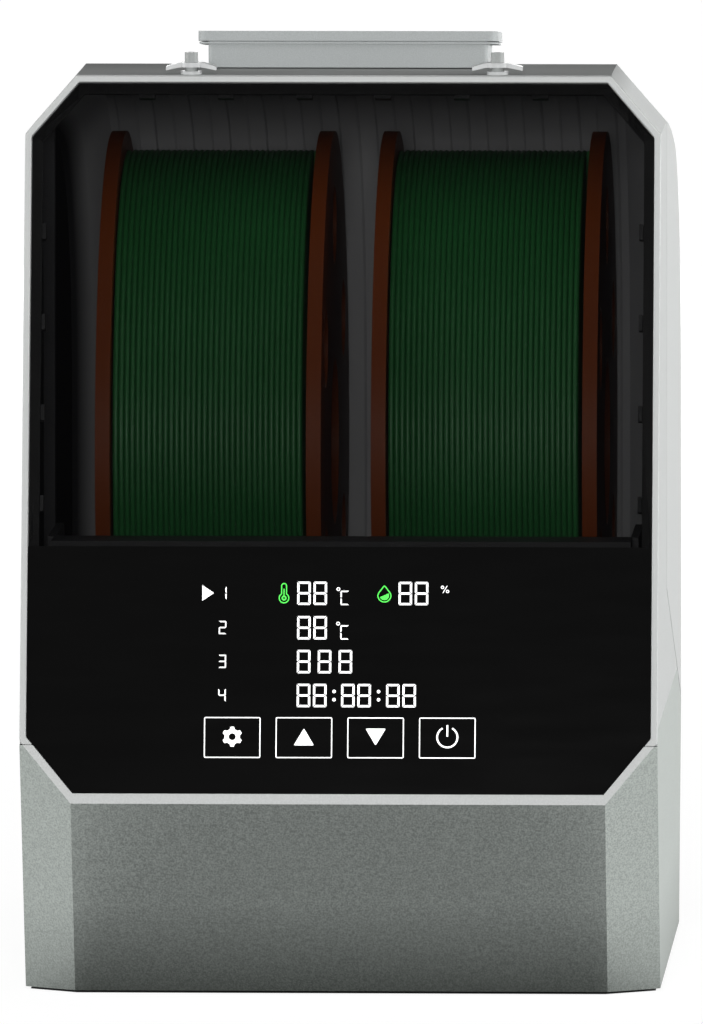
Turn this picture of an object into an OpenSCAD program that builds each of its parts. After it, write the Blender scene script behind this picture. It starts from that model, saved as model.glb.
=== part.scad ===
// Filament dryer box for two spools.
// A leaning window and touch panel close the front, a ribbed lid swings back on two
// hinges at the bottom of its back wall, and the spools turn on rollers above a heater
// and a fan. X runs to the right, Y to the back, Z up; the origin is on the ground under
// the middle of the case.

/* [Case] */
// Room from a spool to the outside of the case
side_room = 21; // [19:0.5:30]
// Room from the foremost point of the spools to the nose of the case
front_room = 59; // [54:0.5:70]
// Room from the spools to the back of the lid
back_room = 11; // [10:0.5:14]
// Room from the top of the spools to the top of the case
roof_room = 25.8; // [23:0.1:40]
// Thickness of the case walls
wall = 2.5; // [2:0.1:3]
// Width of the cut corners, seen from the front
corner_x = 16; // [12:0.5:20]
// Height of the cut corners, seen from the front
corner_z = 18.3; // [14:0.1:20]
// Backward lean of the front face, in degrees
lean = 11.84; // [9:0.01:13]
// Height of the nose, the foremost edge of the case
nose_z = 62.8; // [60:0.1:66]
// Height at which the lower cut corners of the front end
cheek_z = 82.25; // [80:0.05:86]
// Set-back of the bottom front edge behind the nose
front_under = 23.6; // [16:0.1:28]
// Set-back of the bottom back edge before the back of the lid
back_under = 20.5; // [12:0.1:24]
// Gap between the ground and the lower edge of the case
foot_gap = 0.8; // [0.6:0.1:2]

/* [Front] */
// Width of the bezel beside and above the panel
bezel_w = 2.2; // [1.8:0.1:4]
// Width of the light band under the panel
band_w = 3.4; // [2.6:0.1:5]
// Thickness of the bezel, square to the front face
bezel_t = 3; // [2:0.1:3.4]
// Height of the joint between the bezel and the base
bezel_z = 81; // [76:0.1:81]
// Thickness of the window and of the touch panel
panel_t = 2.5; // [2:0.1:3]
// Depth of the panel's face behind the front face
panel_sink = 0.4; // [0.2:0.1:0.6]
// Thickness of the foam seal behind the window
foam_t = 1; // [0.6:0.1:1.4]
// Height of the joint between the window and the touch panel
window_z = 143.1; // [136:0.1:150]
// Width of the ledge that carries the window
ledge_w = 3.2; // [2.4:0.1:4]
// Spacing of the window clips on the sides
clip_pitch_side = 29; // [20:0.5:36]
// Spacing of the window clips along the top
clip_pitch_top = 25; // [20:0.5:32]

/* [Lid] */
// Length of the lid from its front edge at the top to its back
lid_len = 166; // [156:0.5:172]
// Length of the lid at the kink of the seam on the side
kink_len = 168.4; // [160:0.1:174]
// Height of that kink
kink_z = 121.9; // [112:0.1:130]
// Height of the seam at the back
seam_back_z = 66.7; // [66:0.1:67.4]
// Gap of the seam between lid and case
seam_gap = 0.5; // [0.3:0.1:0.8]
// Slope of the roof right behind its front edge, in degrees
roof_slope = 5.2; // [3:0.1:7]
// Radius of the roof
roof_r = 700; // [600:10:900]
// Length of the roof before the back curve
roof_run = 86; // [70:1:96]
// Spacing of the ribs
rib_pitch = 12; // [10:0.5:16]
// Width of the top of a rib
rib_w = 5; // [4:0.1:6]
// Depth of the valleys between the ribs
rib_h = 0.8; // [0.4:0.1:1.2]
// Half the length of the handle's neck
handle_x = 44.6; // [36:0.1:56]
// Reach of the handle's neck forward of the seam
handle_over = 23.3; // [20:0.1:26]
// Height of the handle over the top
handle_h = 12.2; // [10:0.1:16]
// Thickness of the handle's cap
cap_t = 3.2; // [3:0.1:5]
// Overhang of the cap beyond the neck
cap_over = 3.2; // [2:0.1:5]

/* [Hinge] */
// Radius of the hinge knuckles
knuckle_r = 4.5; // [4:0.1:4.8]
// Length of one knuckle
knuckle_w = 12; // [8:0.5:14]
// Distance of the hinges from the middle of the case
hinge_x = 58; // [48:1:60]
// Radius of the hinge pins
pin_r = 1.5; // [1.2:0.1:2]
// Running clearance of pins and axles, on the radius
run_gap = 0.06; // [0.03:0.01:0.1]

/* [Spools] */
// Radius of the spool flanges
spool_r = 100; // [95:0.5:101]
// Width of a spool
spool_w = 72; // [60:0.5:73]
// Gap between the two spools
spool_gap = 16; // [14.5:0.5:18]
// Gap between the spools and the floor of the chamber
floor_room = 8.5; // [6:0.5:12]
// Thickness of a flange
flange_t = 4.65; // [3:0.05:5]
// Radius of the spool hub
hub_r = 40; // [30:0.5:50]
// Radius of the hole through the hub
hub_bore_r = 27; // [20:0.5:28]
// Height of the flanges over the full winding
rim_h = 6; // [6:0.5:20]
// Diameter of the filament
filament_d = 1.78; // [1.7:0.01:1.8]

/* [Rollers] */
// Radius of the roller wheels
roller_r = 9; // [8:0.1:9.5]
// Width of a roller wheel
roller_w = 9; // [7:0.1:10]
// Radius of the roller between its wheels
sleeve_r = 7.4; // [7:0.1:7.6]
// Angle of the rollers from straight below the spool axis
roller_angle = 30; // [26:0.5:33]
// Radius of the roller axles
axle_r = 3; // [2.5:0.1:3.5]
// Outer radius of the roller bearings
bearing_r = 6; // [5.4:0.1:6.2]
// Width of a roller bearing
bearing_w = 4; // [3:0.1:5]
// Gap between a spool and its rollers
rest_gap = 0.3; // [0.2:0.05:0.4]

/* [Inside] */
// Height of the chamber floor
floor_z = 56; // [55:0.1:57]
// Thickness of the chamber liner
liner_t = 2.4; // [1.8:0.1:3]
// Distance of the liner's front wall behind the front face
liner_front = 22.5; // [20:0.5:28]
// Gap between the liner and the case
liner_gap = 4.6; // [4.4:0.1:5.4]
// Width of the square fan
fan_w = 60; // [50:1:60]
// Height of the fan frame
fan_h = 15; // [10:0.5:15]
// Length of the fan duct with the heater
duct_h = 26; // [22:0.5:26]

/* [Outlets] */
// Distance of the outlets from the middle
outlet_x = 48.7; // [46:0.1:60]
// Distance of the outlets behind the front edge of the top
outlet_back = 8; // [8:0.1:12]
// Outer radius of the outlet tube
tube_r = 2.1; // [1.8:0.05:2.1]
// Bore radius of the outlet tube
tube_bore_r = 1.1; // [0.9:0.05:1.3]
// Height of the outlet tube over the top
tube_up = 7; // [5:0.1:10]
// Travel of the winged release collar
collar_travel = 1; // [0.5:0.1:1]

/* [Hidden] */
$fn = 64;
grey = [0.72, 0.73, 0.73];
dark = [0.13, 0.13, 0.14];
spool_z = floor_z + floor_room + spool_r;
winding_r = spool_r - rim_h;
box_w = 2 * (spool_w + side_room) + spool_gap;
box_d = 2 * spool_r + front_room + back_room;
top_z = spool_z + spool_r + roof_room;
half_w = box_w / 2;
front = -box_d / 2;
back = box_d / 2;
far = 400;

// ---- plane geometry ---------------------------------------------------------------

// Unit normal on the right hand of the edge from a to b: outward when the outline
// runs counter-clockwise
function edge_n(a, b) = let (e = b - a) [e[1], -e[0]] / norm(e);

// Corner b of an outline after its two edges moved inward by d1 and d2
function moved_corner(a, b, c, d1, d2) =
    let (n1 = edge_n(a, b), n2 = edge_n(b, c), k = n1 * n2)
    b - ((d1 - d2 * k) * n1 + (d2 - d1 * k) * n2) / (1 - k * k);

// Counter-clockwise outline with edge i moved inward by d[i]
function inset_each(pts, d) = let (n = len(pts)) [
    for (i = [0:n - 1])
        moved_corner(pts[(i + n - 1) % n], pts[i], pts[(i + 1) % n], d[(i + n - 1) % n], d[i])
];
function inset_all(pts, d) = inset_each(pts, [for (p = pts) d]);

// Prism along X of an outline drawn in Y and Z
module along_x(x0, x1) {
    translate([x0, 0, 0]) rotate([90, 0, 90]) linear_extrude(x1 - x0) children();
}

// Prism along Y of an outline drawn in X and Z
module along_y(y0, y1) {
    translate([0, y1, 0]) rotate([90, 0, 0]) linear_extrude(y1 - y0) children();
}

// Round bar along X about a point in Y and Z
module bar_x(x0, x1, y, z, r) {
    translate([x0, y, z]) rotate([0, 90, 0]) cylinder(r = r, h = x1 - x0);
}

// All of space on the outer side of the plane through p with the outward normal n
module beyond(p, n) {
    translate(p) rotate([0, acos(n[2] / norm(n)), atan2(n[1], n[0])])
        translate([-far / 2, -far / 2, 0]) cube(far);
}

module both_sides() {
    children();
    mirror([1, 0, 0]) children();
}

// ---- outlines of the case -----------------------------------------------------------

function front_y(z) = front + (z - nose_z) * tan(lean);
function up_front(z) = (z - nose_z) / cos(lean);
function under_y(z) = front + front_under * (nose_z - z) / nose_z;
function back_y(z) = back - back_under * (seam_back_z - z) / seam_back_z;
front_top_y = front_y(top_z);

// Side view of the closed case, its curved roof apart
case_side = [
    [under_y(foot_gap), foot_gap], [back_y(foot_gap), foot_gap], [back, seam_back_z],
    [back, top_z], [front_top_y, top_z], [front, nose_z]
];

// Front view: an arch with cut upper corners
arch = [
    [-half_w, 0], [half_w, 0], [half_w, top_z - corner_z], [half_w - corner_x, top_z],
    [corner_x - half_w, top_z], [-half_w, top_z - corner_z]
];
function arch_in(d) = inset_each(arch, [-far, d, d, d, d, d]);

// The front face in its own plane: X, and the distance up the slope from the nose
cheek_x = half_w - corner_x - 0.4;
face = [
    [-cheek_x, 0], [cheek_x, 0], [half_w, up_front(cheek_z)],
    [half_w, up_front(top_z - corner_z)], [half_w - corner_x, up_front(top_z)],
    [corner_x - half_w, up_front(top_z)], [-half_w, up_front(top_z - corner_z)],
    [-half_w, up_front(cheek_z)]
];
cheek_w = (bezel_w + band_w) / 2 - 0.2;
panel_edge = inset_each(face, [band_w, cheek_w, bezel_w, bezel_w, bezel_w, bezel_w, bezel_w, cheek_w]);
panel_fit = 0.15;
panel_back = panel_sink + panel_t;
ledge_z = panel_back + foam_t;
front_t = ledge_z + 2.1;

// Puts children on the front face: X, up the slope, and out of the face
module on_front() {
    translate([0, front, nose_z]) rotate([90 - lean, 0, 0]) children();
}

// Slab of an outline on the front face, from depth d1 up to depth d0
module front_slab(pts, d0, d1) {
    on_front() translate([0, 0, -d1]) linear_extrude(d1 - d0) polygon(pts);
}

// Cut corners of the base: the outward side of each of their planes, moved inward by d
cheek_a = [half_w, front_y(cheek_z), cheek_z];
cheek_b = [cheek_x, front, nose_z];
cheek_n = cross([0, front_under, -nose_z], cheek_a - cheek_b);
tail_a = [half_w, back - corner_z, seam_back_z];
tail_b = [half_w - corner_x, back, seam_back_z];
tail_n = cross([0, -back_under, -seam_back_z], tail_b - tail_a);
module base_corners(d = 0) {
    both_sides() {
        beyond(cheek_b - d * cheek_n / norm(cheek_n), cheek_n);
        beyond(tail_b - d * tail_n / norm(tail_n), tail_n);
    }
}

// ---- seam between case and lid ---------------------------------------------------------

seam_top_y = back - lid_len;
kink = [back - kink_len, kink_z];
seam_dir = [seam_top_y - kink[0], top_z - kink_z];
seam_a = kink + seam_dir * 1.2;
seam_e = kink + ([back, seam_back_z] - kink) * 1.15;
seam_drop = (kink_z - seam_back_z) / kink_len;
function seam_z(y) = kink_z - (y - kink[0]) * seam_drop;

// The seam as three points, moved by o towards the lid
function seam(o) = let (n1 = edge_n(seam_a, kink), n2 = edge_n(kink, seam_e)) [
    seam_a - o * n1, moved_corner(seam_a, kink, seam_e, o, o), seam_e - o * n2
];
module lid_side(o = 0) {
    polygon(concat(seam(o), [[far, seam_back_z], [far, far], [seam_a[0] + o, far]]));
}
module case_part(o = 0) {
    polygon(concat(seam(o), [[far, -far], [-far, -far], [-far, far], [seam_a[0] + o, far]]));
}
// Strip along the seam, from o0 to o1
module seam_strip(o0, o1) {
    s0 = seam(o0);
    s1 = seam(o1);
    polygon([s0[0], s0[1], s0[2], s1[2], s1[1], s1[0]]);
}

// ---- roof of the lid -------------------------------------------------------------------

// Two arcs follow the flat top: one of roof_r, then one that ends upright at the back
roof_y = seam_top_y + roof_run;
roof_turn = asin(sin(roof_slope) + roof_run / roof_r);
roof_z = top_z - roof_r * (cos(roof_slope) - cos(roof_turn));
roof_c = [seam_top_y - roof_r * sin(roof_slope), top_z - roof_r * cos(roof_slope)];
back_r = (back - roof_y) / (1 - sin(roof_turn));
back_c = [back - back_r, roof_z - back_r * cos(roof_turn)];

// Sweeps a section, drawn as X and height over the skin, along the roof and down the back
// to low_z, from 1 degree before the front edge
module roof_sweep(section, low_z) {
    start = roof_slope - 1;
    translate([0, roof_c[0], roof_c[1]]) rotate([0, -90, 0]) rotate([0, 0, start])
        rotate_extrude(angle = roof_turn - start, $fn = 128)
            polygon([for (p = section) [roof_r + p[1], p[0]]]);
    translate([0, back_c[0], back_c[1]]) rotate([0, -90, 0]) rotate([0, 0, roof_turn])
        rotate_extrude(angle = 90 - roof_turn, $fn = 96)
            polygon([for (p = section) [back_r + p[1], p[0]]]);
    translate([0, back, low_z]) linear_extrude(back_c[1] - low_z) polygon(section);
}

// Outline of the roof at a depth d, as the arcs and what they enclose
module roof_side(d) {
    p1 = roof_c + (roof_r - d) * [sin(roof_turn), cos(roof_turn)];
    polygon([
        [seam_a[0] - 20, 0], [back - d, 0], [back - d, back_c[1]], p1,
        [seam_top_y - d * sin(roof_slope), top_z - d * cos(roof_slope)],
        [seam_a[0] - 20, top_z - d * cos(roof_slope) + 2]
    ]);
    intersection() {
        translate(roof_c) circle(r = roof_r - d, $fn = 128);
        polygon([
            roof_c, roof_c + 2 * roof_r * [sin(roof_slope), cos(roof_slope)],
            roof_c + 2 * roof_r * [sin(roof_turn), cos(roof_turn)]
        ]);
    }
    intersection() {
        translate(back_c) circle(r = back_r - d, $fn = 96);
        translate(back_c) polygon([
            [0, 0], 3 * back_r * [sin(roof_turn), cos(roof_turn)], [3 * back_r, 3 * back_r], [3 * back_r, 0]
        ]);
    }
}

// Ribbed edge from left to right at a height v: bands with valleys between them, and a
// last band on each side that runs into the cut corner
band_x = half_w - corner_x;
rib_count = floor((band_x - 4 - rib_w / 2 - 2 * rib_h) / rib_pitch);
last_band = min((rib_count + 1) * rib_pitch - rib_w / 2, band_x - 3);
function ribbed(v, edge) = concat(
    [[-edge, v], [-last_band, v], [rib_h - last_band, v - rib_h]],
    [for (k = [-rib_count:rib_count]) for (p = [
        [-rib_w / 2 - rib_h, -rib_h], [-rib_w / 2, 0], [rib_w / 2, 0], [rib_w / 2 + rib_h, -rib_h]
    ]) [k * rib_pitch + p[0], v + p[1]]],
    [[last_band - rib_h, v - rib_h], [last_band, v], [edge, v]]
);
function reversed(list) = [for (i = [len(list) - 1:-1:0]) list[i]];

// ---- places of the inner parts -------------------------------------------------------

spool_y = back - back_room - spool_r;
spool_x = (spool_gap + spool_w) / 2;
roller_reach = spool_r + roller_r + rest_gap;
roller_dy = roller_reach * sin(roller_angle);
roller_z = spool_z - roller_reach * cos(roller_angle);
hinge_y = back - knuckle_r - 0.1;
hinge_z = seam_back_z + 1.8;
liner_x = half_w - wall - liner_gap;
liner_back = hinge_y - knuckle_r - 1;
liner_bottom = floor_z - liner_t;
cover_z0 = foot_gap - 0.2;
cover_t = 2.5;
cover_top = cover_z0 + cover_t;
post_r = 4;
post_h = 16;
post_front = 44;
post_back = 40;
screw_r = 1.5;
fan_z1 = liner_bottom - duct_h;
fan_z0 = fan_z1 - fan_h;
board_z = cover_top + 5;

// Centres of the six posts that the bottom cover is screwed to
post_x = half_w - wall - post_r - 1.5;
post_y = [front + post_front, (front + back) / 2 + 12, back - post_back];

// Places a child at each of the six posts
module at_posts(z) {
    for (y = post_y) for (s = [-1, 1]) translate([s * post_x, y, z]) children();
}

// ---- case ----------------------------------------------------------------------------

// The whole outer form of the case, before the lid is parted off
module case_form() {
    difference() {
        intersection() {
            along_x(-half_w, half_w) polygon(case_side);
            along_y(front - 1, back + 1) polygon(arch);
            along_x(-half_w, half_w) case_part(0);
        }
        base_corners();
    }
}

// The room inside the case walls, open below and towards the lid
module case_room() {
    difference() {
        intersection() {
            along_x(-half_w, half_w) polygon(inset_each(case_side, [-10, wall, wall, wall, front_t, wall]));
            along_y(front - 1, back + 1) polygon(arch_in(wall));
        }
        base_corners(wall);
    }
}

// Bar-shaped ring that follows the arch between two depths
module arch_ring(d0, d1, y0, y1) {
    difference() {
        along_y(y0, y1) polygon(arch_in(d0));
        along_y(y0 - 1, y1 + 1) polygon(arch_in(d1));
    }
}

seal_d0 = wall + 0.2;
seal_d1 = wall + 3.6;
seal_end = back - corner_z - 8;

// Strip of the arch ring along the seam, from o0 to o1 across it
module seam_ring(d0, d1, o0, o1) {
    intersection() {
        arch_ring(d0, d1, seam_top_y - 20, seal_end);
        along_x(-half_w, half_w) seam_strip(o0, o1);
    }
}

inlet_x = 58;
inlet_z = 30;
module on_back(x, z) {
    tilt = atan(back_under / seam_back_z);
    translate([x, back_y(z), z]) rotate([90 + tilt, 0, 180]) children();
}

// X ranges of the case's two knuckles of each hinge
knuckle_gap = 0.4;
module case_knuckles(r, grow = 0) {
    for (s = [-1, 1]) {
        outer = s * hinge_x + (knuckle_w + knuckle_gap);
        inner = s * hinge_x - (knuckle_w + knuckle_gap);
        for (x = [outer, inner])
            bar_x(x - knuckle_w / 2 - grow, x + knuckle_w / 2 + grow, hinge_y, hinge_z, r);
    }
}

outlet_y = front_top_y + outlet_back;
vent_w = 2.4;
vent_pitch = 5.2;
vent_z = 20;
vent_high = 18;

module base_housing() {
    color(grey) difference() {
        union() {
            difference() {
                case_form();
                case_room();
            }
            // Ledge for the lid's seal
            seam_ring(wall - 0.5, seal_d1, -5.5, -3);
            // Ledges that the chamber liner stands on
            both_sides() translate([liner_x - 10, front + 40, liner_bottom - 6])
                cube([half_w - liner_x + 10 - wall / 2, box_d - 74, 6]);
            // Screw posts with their webs
            at_posts(cover_top) cylinder(r = post_r, h = post_h);
            both_sides() for (y = post_y) translate([post_x, y - 1.5, cover_top])
                cube([half_w - post_x - wall / 2, 3, post_h]);
            // Knuckles and the blocks under them
            case_knuckles(knuckle_r);
            for (s = [-1, 1]) for (t = [-1, 1])
                translate([s * hinge_x + t * (knuckle_w + knuckle_gap), hinge_y, hinge_z])
                    translate([-knuckle_w / 2, -2, -12])
                    cube([knuckle_w, knuckle_r - 1, 12]);
        }
        // Pocket of the bezel, pocket of the panel, and the opening behind it
        intersection() {
            on_front() translate([-half_w - 1, -20, -bezel_t]) cube([box_w + 2, far, far]);
            translate([-far / 2, -far / 2, bezel_z]) cube(far);
        }
        front_slab(inset_all(panel_edge, -panel_fit), -5, ledge_z);
        front_slab(inset_all(panel_edge, ledge_w), -5, front_t + 12);
        // Bores of the hinge pins
        bar_x(-hinge_x - 1.5 * knuckle_w - 2, -hinge_x + 1.5 * knuckle_w + 2, hinge_y, hinge_z, pin_r);
        bar_x(hinge_x - 1.5 * knuckle_w - 2, hinge_x + 1.5 * knuckle_w + 2, hinge_y, hinge_z, pin_r);
        // Clearance for the lid's knuckles
        for (s = [-1, 1]) translate([s * hinge_x, hinge_y, hinge_z])
            translate([-knuckle_w / 2 - knuckle_gap, -knuckle_r - 0.5, -7])
            cube([knuckle_w + 2 * knuckle_gap, 20, 20]);
        // Screw holes in the posts and in the ledges
        at_posts(cover_top - 1) cylinder(r = screw_r - 0.25, h = post_h - 3);
        at_liner_screws(liner_bottom - 7) cylinder(r = screw_r - 0.25, h = 12);
        // Cut-out of the mains inlet
        on_back(inlet_x, inlet_z) translate([-13.6, -9.9, -8]) cube([27.2, 19.8, 16]);
        // Bores of the outlets
        both_sides() translate([outlet_x, outlet_y, top_z]) {
            translate([0, 0, -20]) cylinder(r = stem_r, h = 30);
            translate([0, 0, -wall - 20]) cylinder(r = stem_r + 1, h = 20);
        }
        // Pockets of the lid's keeper plates
        both_sides() translate([keeper_x, keeper_y, top_z - 1.2]) cylinder(r = 5.1, h = 5);
        // Exhaust slots, low in the left wall
        for (k = [0:9]) translate([-half_w - 6, spool_y - 24 + k * vent_pitch - vent_w / 2, vent_z])
            cube([12, vent_w, vent_high]);
    }
}

vent_n = 9;
module bottom_cover() {
    edge = wall + 0.4;
    color(dark) difference() {
        intersection() {
            along_x(-half_w, half_w)
                polygon(inset_each(case_side, [cover_z0 - foot_gap, edge, edge, edge, edge, edge]));
            difference() {
                translate([-half_w + edge, front, cover_z0]) cube([box_w - 2 * edge, box_d, cover_t]);
                base_corners(edge);
            }
        }
        // Pockets of the feet
        at_feet(cover_z0 - 1) cylinder(r = foot_r + 0.1, h = 2.2);
        // Intake slots under the fan
        for (k = [-vent_n:vent_n]) if (abs(k) * 3.2 < fan_w / 2)
            translate([k * 3.2 - 0.9, spool_y - fan_w / 2 + 6, cover_z0 - 1]) cube([1.8, fan_w - 12, 5]);
        // Screw holes with countersinks
        at_posts(cover_z0 - 1) cylinder(r = screw_r + 0.2, h = 6);
        at_posts(cover_z0 - 1) cylinder(r = 3.2, h = 2.4);
    }
    color(dark) difference() {
        union() {
            at_board(control_at, control_size) cylinder(r = 3, h = board_z - cover_top);
            at_board(supply_at, supply_size) cylinder(r = 3, h = board_z - cover_top);
        }
        at_board(control_at, control_size) translate([0, 0, 1]) cylinder(r = 1, h = 10);
        at_board(supply_at, supply_size) translate([0, 0, 1]) cylinder(r = 1, h = 10);
    }
}

foot_r = 9;
foot_in = 16;
module at_feet(z) {
    for (s = [-1, 1]) for (y = [under_y(0) + foot_in, back_y(0) - foot_in])
        translate([s * (half_w - corner_x - foot_in), y, z]) children();
}
module rubber_feet() {
    color([0.08, 0.08, 0.08]) at_feet(0) union() {
        cylinder(r = foot_r - 1, h = 0.5);
        translate([0, 0, 0.4]) cylinder(r = foot_r, h = cover_z0 + 1.2 - 0.4);
    }
}
module cover_screws() {
    color("silver") at_posts(0) {
        translate([0, 0, cover_z0 + 0.2]) cylinder(r = 2.9, h = 1.2);
        translate([0, 0, cover_z0 + 0.8]) cylinder(r = screw_r - 0.25, h = 10);
    }
}

// ---- front -----------------------------------------------------------------------------

module front_bezel() {
    color([0.8, 0.81, 0.81]) intersection() {
        difference() {
            front_slab(face, 0, bezel_t);
            front_slab(inset_all(panel_edge, -panel_fit), -2, bezel_t + 2);
        }
        translate([-far / 2, -far / 2, bezel_z]) cube(far);
        translate([-half_w, front, 0]) cube([box_w, box_d, top_z]);
    }
}

module panel_piece(s0, s1, d0, d1, trim = 0) {
    on_front() translate([0, 0, -d1]) linear_extrude(d1 - d0) intersection() {
        polygon(inset_all(panel_edge, trim));
        translate([-half_w, s0]) square([box_w, s1 - s0]);
    }
}
module front_window() {
    color([0.2, 0.2, 0.22, 0.5]) panel_piece(up_front(window_z), far, panel_sink, panel_back);
}
module touch_panel() {
    color([0.03, 0.03, 0.03]) panel_piece(-5, up_front(window_z), panel_sink, panel_back);
}
module window_foam() {
    color([0.05, 0.05, 0.05]) difference() {
        front_slab(panel_edge, panel_back, ledge_z);
        front_slab(inset_all(panel_edge, ledge_w), panel_back - 1, ledge_z + 1);
    }
}

// Snap hooks that hold the panels to the ledge: a stem along its inner edge and a nose behind it
hook_w = 5;
module hook(length = hook_w) {
    translate([-length / 2, -1.4, -front_t - 1.6]) cube([length, 1.2, front_t + 1.6 - panel_back]);
    translate([-length / 2, -1.4, -front_t - 1.6]) cube([length, 2.8, 1.4]);
}
clip_side_n = floor((up_front(top_z - corner_z) - up_front(window_z) - 20) / clip_pitch_side);
clip_top_n = 2 * floor((band_x - 25) / clip_pitch_top) + 1;
module window_clips() {
    x_in = half_w - bezel_w - ledge_w;
    s_top = up_front(top_z) - bezel_w - ledge_w;
    color(dark) on_front() {
        both_sides() for (k = [0:clip_side_n])
            translate([x_in, up_front(window_z) + 14 + k * clip_pitch_side, 0]) rotate([0, 0, -90]) hook();
        for (k = [0:clip_top_n]) translate([(k - clip_top_n / 2) * clip_pitch_top, s_top, 0]) hook();
        both_sides() translate([x_in, up_front(window_z) - 30, 0]) rotate([0, 0, -90]) hook();
        both_sides() translate([cheek_x - 24, band_w + ledge_w, 0]) mirror([0, 1, 0]) hook();
    }
}

// Display behind the touch panel: a lit digit module and the board of the touch keys
display_w = 104;
display_low = 93;
display_high = 129;
display_s0 = up_front(display_low);
display_s1 = up_front(display_high);
display_t = 7;
touch_w = 96;
touch_low = 73;
pad_pitch = 22.7;
pad_w = 12;
pad_low = 78;
module display_module() {
    color([0.1, 0.1, 0.1]) on_front() {
        translate([-display_w / 2, display_s0, -panel_back - display_t])
            cube([display_w, display_s1 - display_s0, display_t]);
        // Connector of the cable, at the back
        translate([-8, display_s0 + 3, -panel_back - display_t - 4]) cube([16, 5, 4]);
    }
}
module touch_board() {
    color([0.1, 0.3, 0.2]) on_front() {
        translate([-touch_w / 2, up_front(touch_low), -panel_back - 1.6])
            cube([touch_w, display_s0 - up_front(touch_low) - 0.5, 1.6]);
        for (k = [-1.5:1.5]) translate([k * pad_pitch - pad_w / 2, up_front(pad_low), -panel_back - 2.6])
            cube([pad_w, 9, 1]);
    }
}

// ---- chamber -----------------------------------------------------------------------------

liner_lip = 4;
liner_rim = window_z + 1;
function liner_front_y(z) = front_y(z) + liner_front / cos(lean);

// Side view of the liner, its rim following the seam
liner_side = [
    [liner_front_y(liner_bottom), liner_bottom], [liner_back, liner_bottom],
    [liner_back, seam_z(liner_back) + liner_lip + 5], [kink[0] - 2, kink_z + liner_lip],
    [kink[0] - 14, liner_rim], [liner_front_y(liner_rim), liner_rim]
];
module liner_form(d) {
    difference() {
        along_x(-liner_x + d, liner_x - d)
            polygon(inset_each(liner_side, [d, d, d == 0 ? 0 : -20, d == 0 ? 0 : -20, d == 0 ? 0 : -20, d]));
        both_sides() translate([0, -d * 1.4, 0])
            beyond([liner_x, back - corner_z - 10, 0], [corner_z, corner_x, 0]);
    }
}
grille_w = fan_w + 6;
hole_w = fan_w - 6;
module chamber_liner() {
    color(dark) difference() {
        union() {
            difference() {
                liner_form(0);
                liner_form(liner_t);
            }
            // Lip that closes the gap to the window's lower edge
            intersection() {
                along_x(-liner_x, liner_x) polygon([
                    [front_y(liner_rim) + (front_t + 0.5) / cos(lean), liner_rim - 2],
                    [liner_front_y(liner_rim) + 1, liner_rim - 2], [liner_front_y(liner_rim) + 1, liner_rim],
                    [front_y(liner_rim) + (front_t + 0.5) / cos(lean), liner_rim]
                ]);
                translate([-half_w + 9, front, 0]) cube([box_w - 18, box_d, top_z]);
            }
        }
        // Air opening, and holes of the screws into the case, the cradle and the duct
        translate([-hole_w / 2, spool_y - hole_w / 2, liner_bottom - 1]) cube([hole_w, hole_w, 10]);
        at_liner_screws(liner_bottom - 1) cylinder(r = screw_r + 0.15, h = 10);
        at_cradle_screws(liner_bottom - 1) cylinder(r = screw_r - 0.25, h = 10);
        // Hole for the sensor's lead
        on_front() translate([sensor_x, up_front(sensor_z), -sensor_d - 1])
            cylinder(r = 2.2, h = liner_t + 2);
    }
}

// Frame that carries the two roller axles on three cheeks
cheek_t = 4;
cradle_t = 2.6;
cradle_hole_x = spool_x + 2;
cradle_x = [0, liner_x - liner_t - 0.5 - cheek_t / 2];
module roller_cradle() {
    color([0.18, 0.18, 0.19]) difference() {
        union() {
            for (sy = [-1, 1]) {
                y = spool_y + sy * roller_dy;
                translate([-liner_x + liner_t + 0.5, y - 8, floor_z])
                    cube([2 * (liner_x - liner_t - 0.5), 16, cradle_t]);
                for (x = [-cradle_x[1], cradle_x[0], cradle_x[1]]) {
                    translate([x - cheek_t / 2, y - 7, floor_z]) cube([cheek_t, 14, roller_z - floor_z]);
                    bar_x(x - cheek_t / 2, x + cheek_t / 2, y, roller_z, 7);
                }
            }
            for (s = [-1, 1]) translate([s * cradle_x[1] - cheek_t / 2, spool_y - roller_dy, floor_z])
                cube([cheek_t, 2 * roller_dy, cradle_t + 3]);
        }
        for (sy = [-1, 1]) bar_x(-liner_x, liner_x, spool_y + sy * roller_dy, roller_z, axle_r);
        at_cradle_screws(floor_z - 1) cylinder(r = screw_r + 0.15, h = 10);
    }
}
axle_len = 2 * (liner_x - liner_t - 0.6);
module front_axle() {
    color("silver") bar_x(-axle_len / 2, axle_len / 2, spool_y - roller_dy, roller_z, axle_r);
}
module rear_axle() {
    color("silver") bar_x(-axle_len / 2, axle_len / 2, spool_y + roller_dy, roller_z, axle_r);
}

// Roller: two wheels on a sleeve, hollow for the axle, with a bearing seat in each end
roller_x = [
    spool_gap / 2 + flange_t / 2 - roller_w / 2, spool_gap / 2 + spool_w - flange_t / 2 + roller_w / 2
];
module roller(s, y) {
    len = roller_x[1] - roller_x[0];
    color([0.62, 0.63, 0.64]) translate([s * (roller_x[0] + len / 2), y, roller_z]) rotate([0, 90, 0])
        difference() {
        union() {
            translate([0, 0, -len / 2]) cylinder(r = sleeve_r, h = len);
            for (e = [-1, 1]) translate([0, 0, e * (len - roller_w) / 2 - roller_w / 2])
                cylinder(r = roller_r, h = roller_w);
        }
        translate([0, 0, -len]) cylinder(r = axle_r + 1, h = 2 * len);
        for (e = [-1, 1]) translate([0, 0, e * (len - bearing_w) / 2 - bearing_w / 2 - (e < 0 ? 1 : 0)])
            cylinder(r = bearing_r, h = bearing_w + 1);
    }
}
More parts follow.
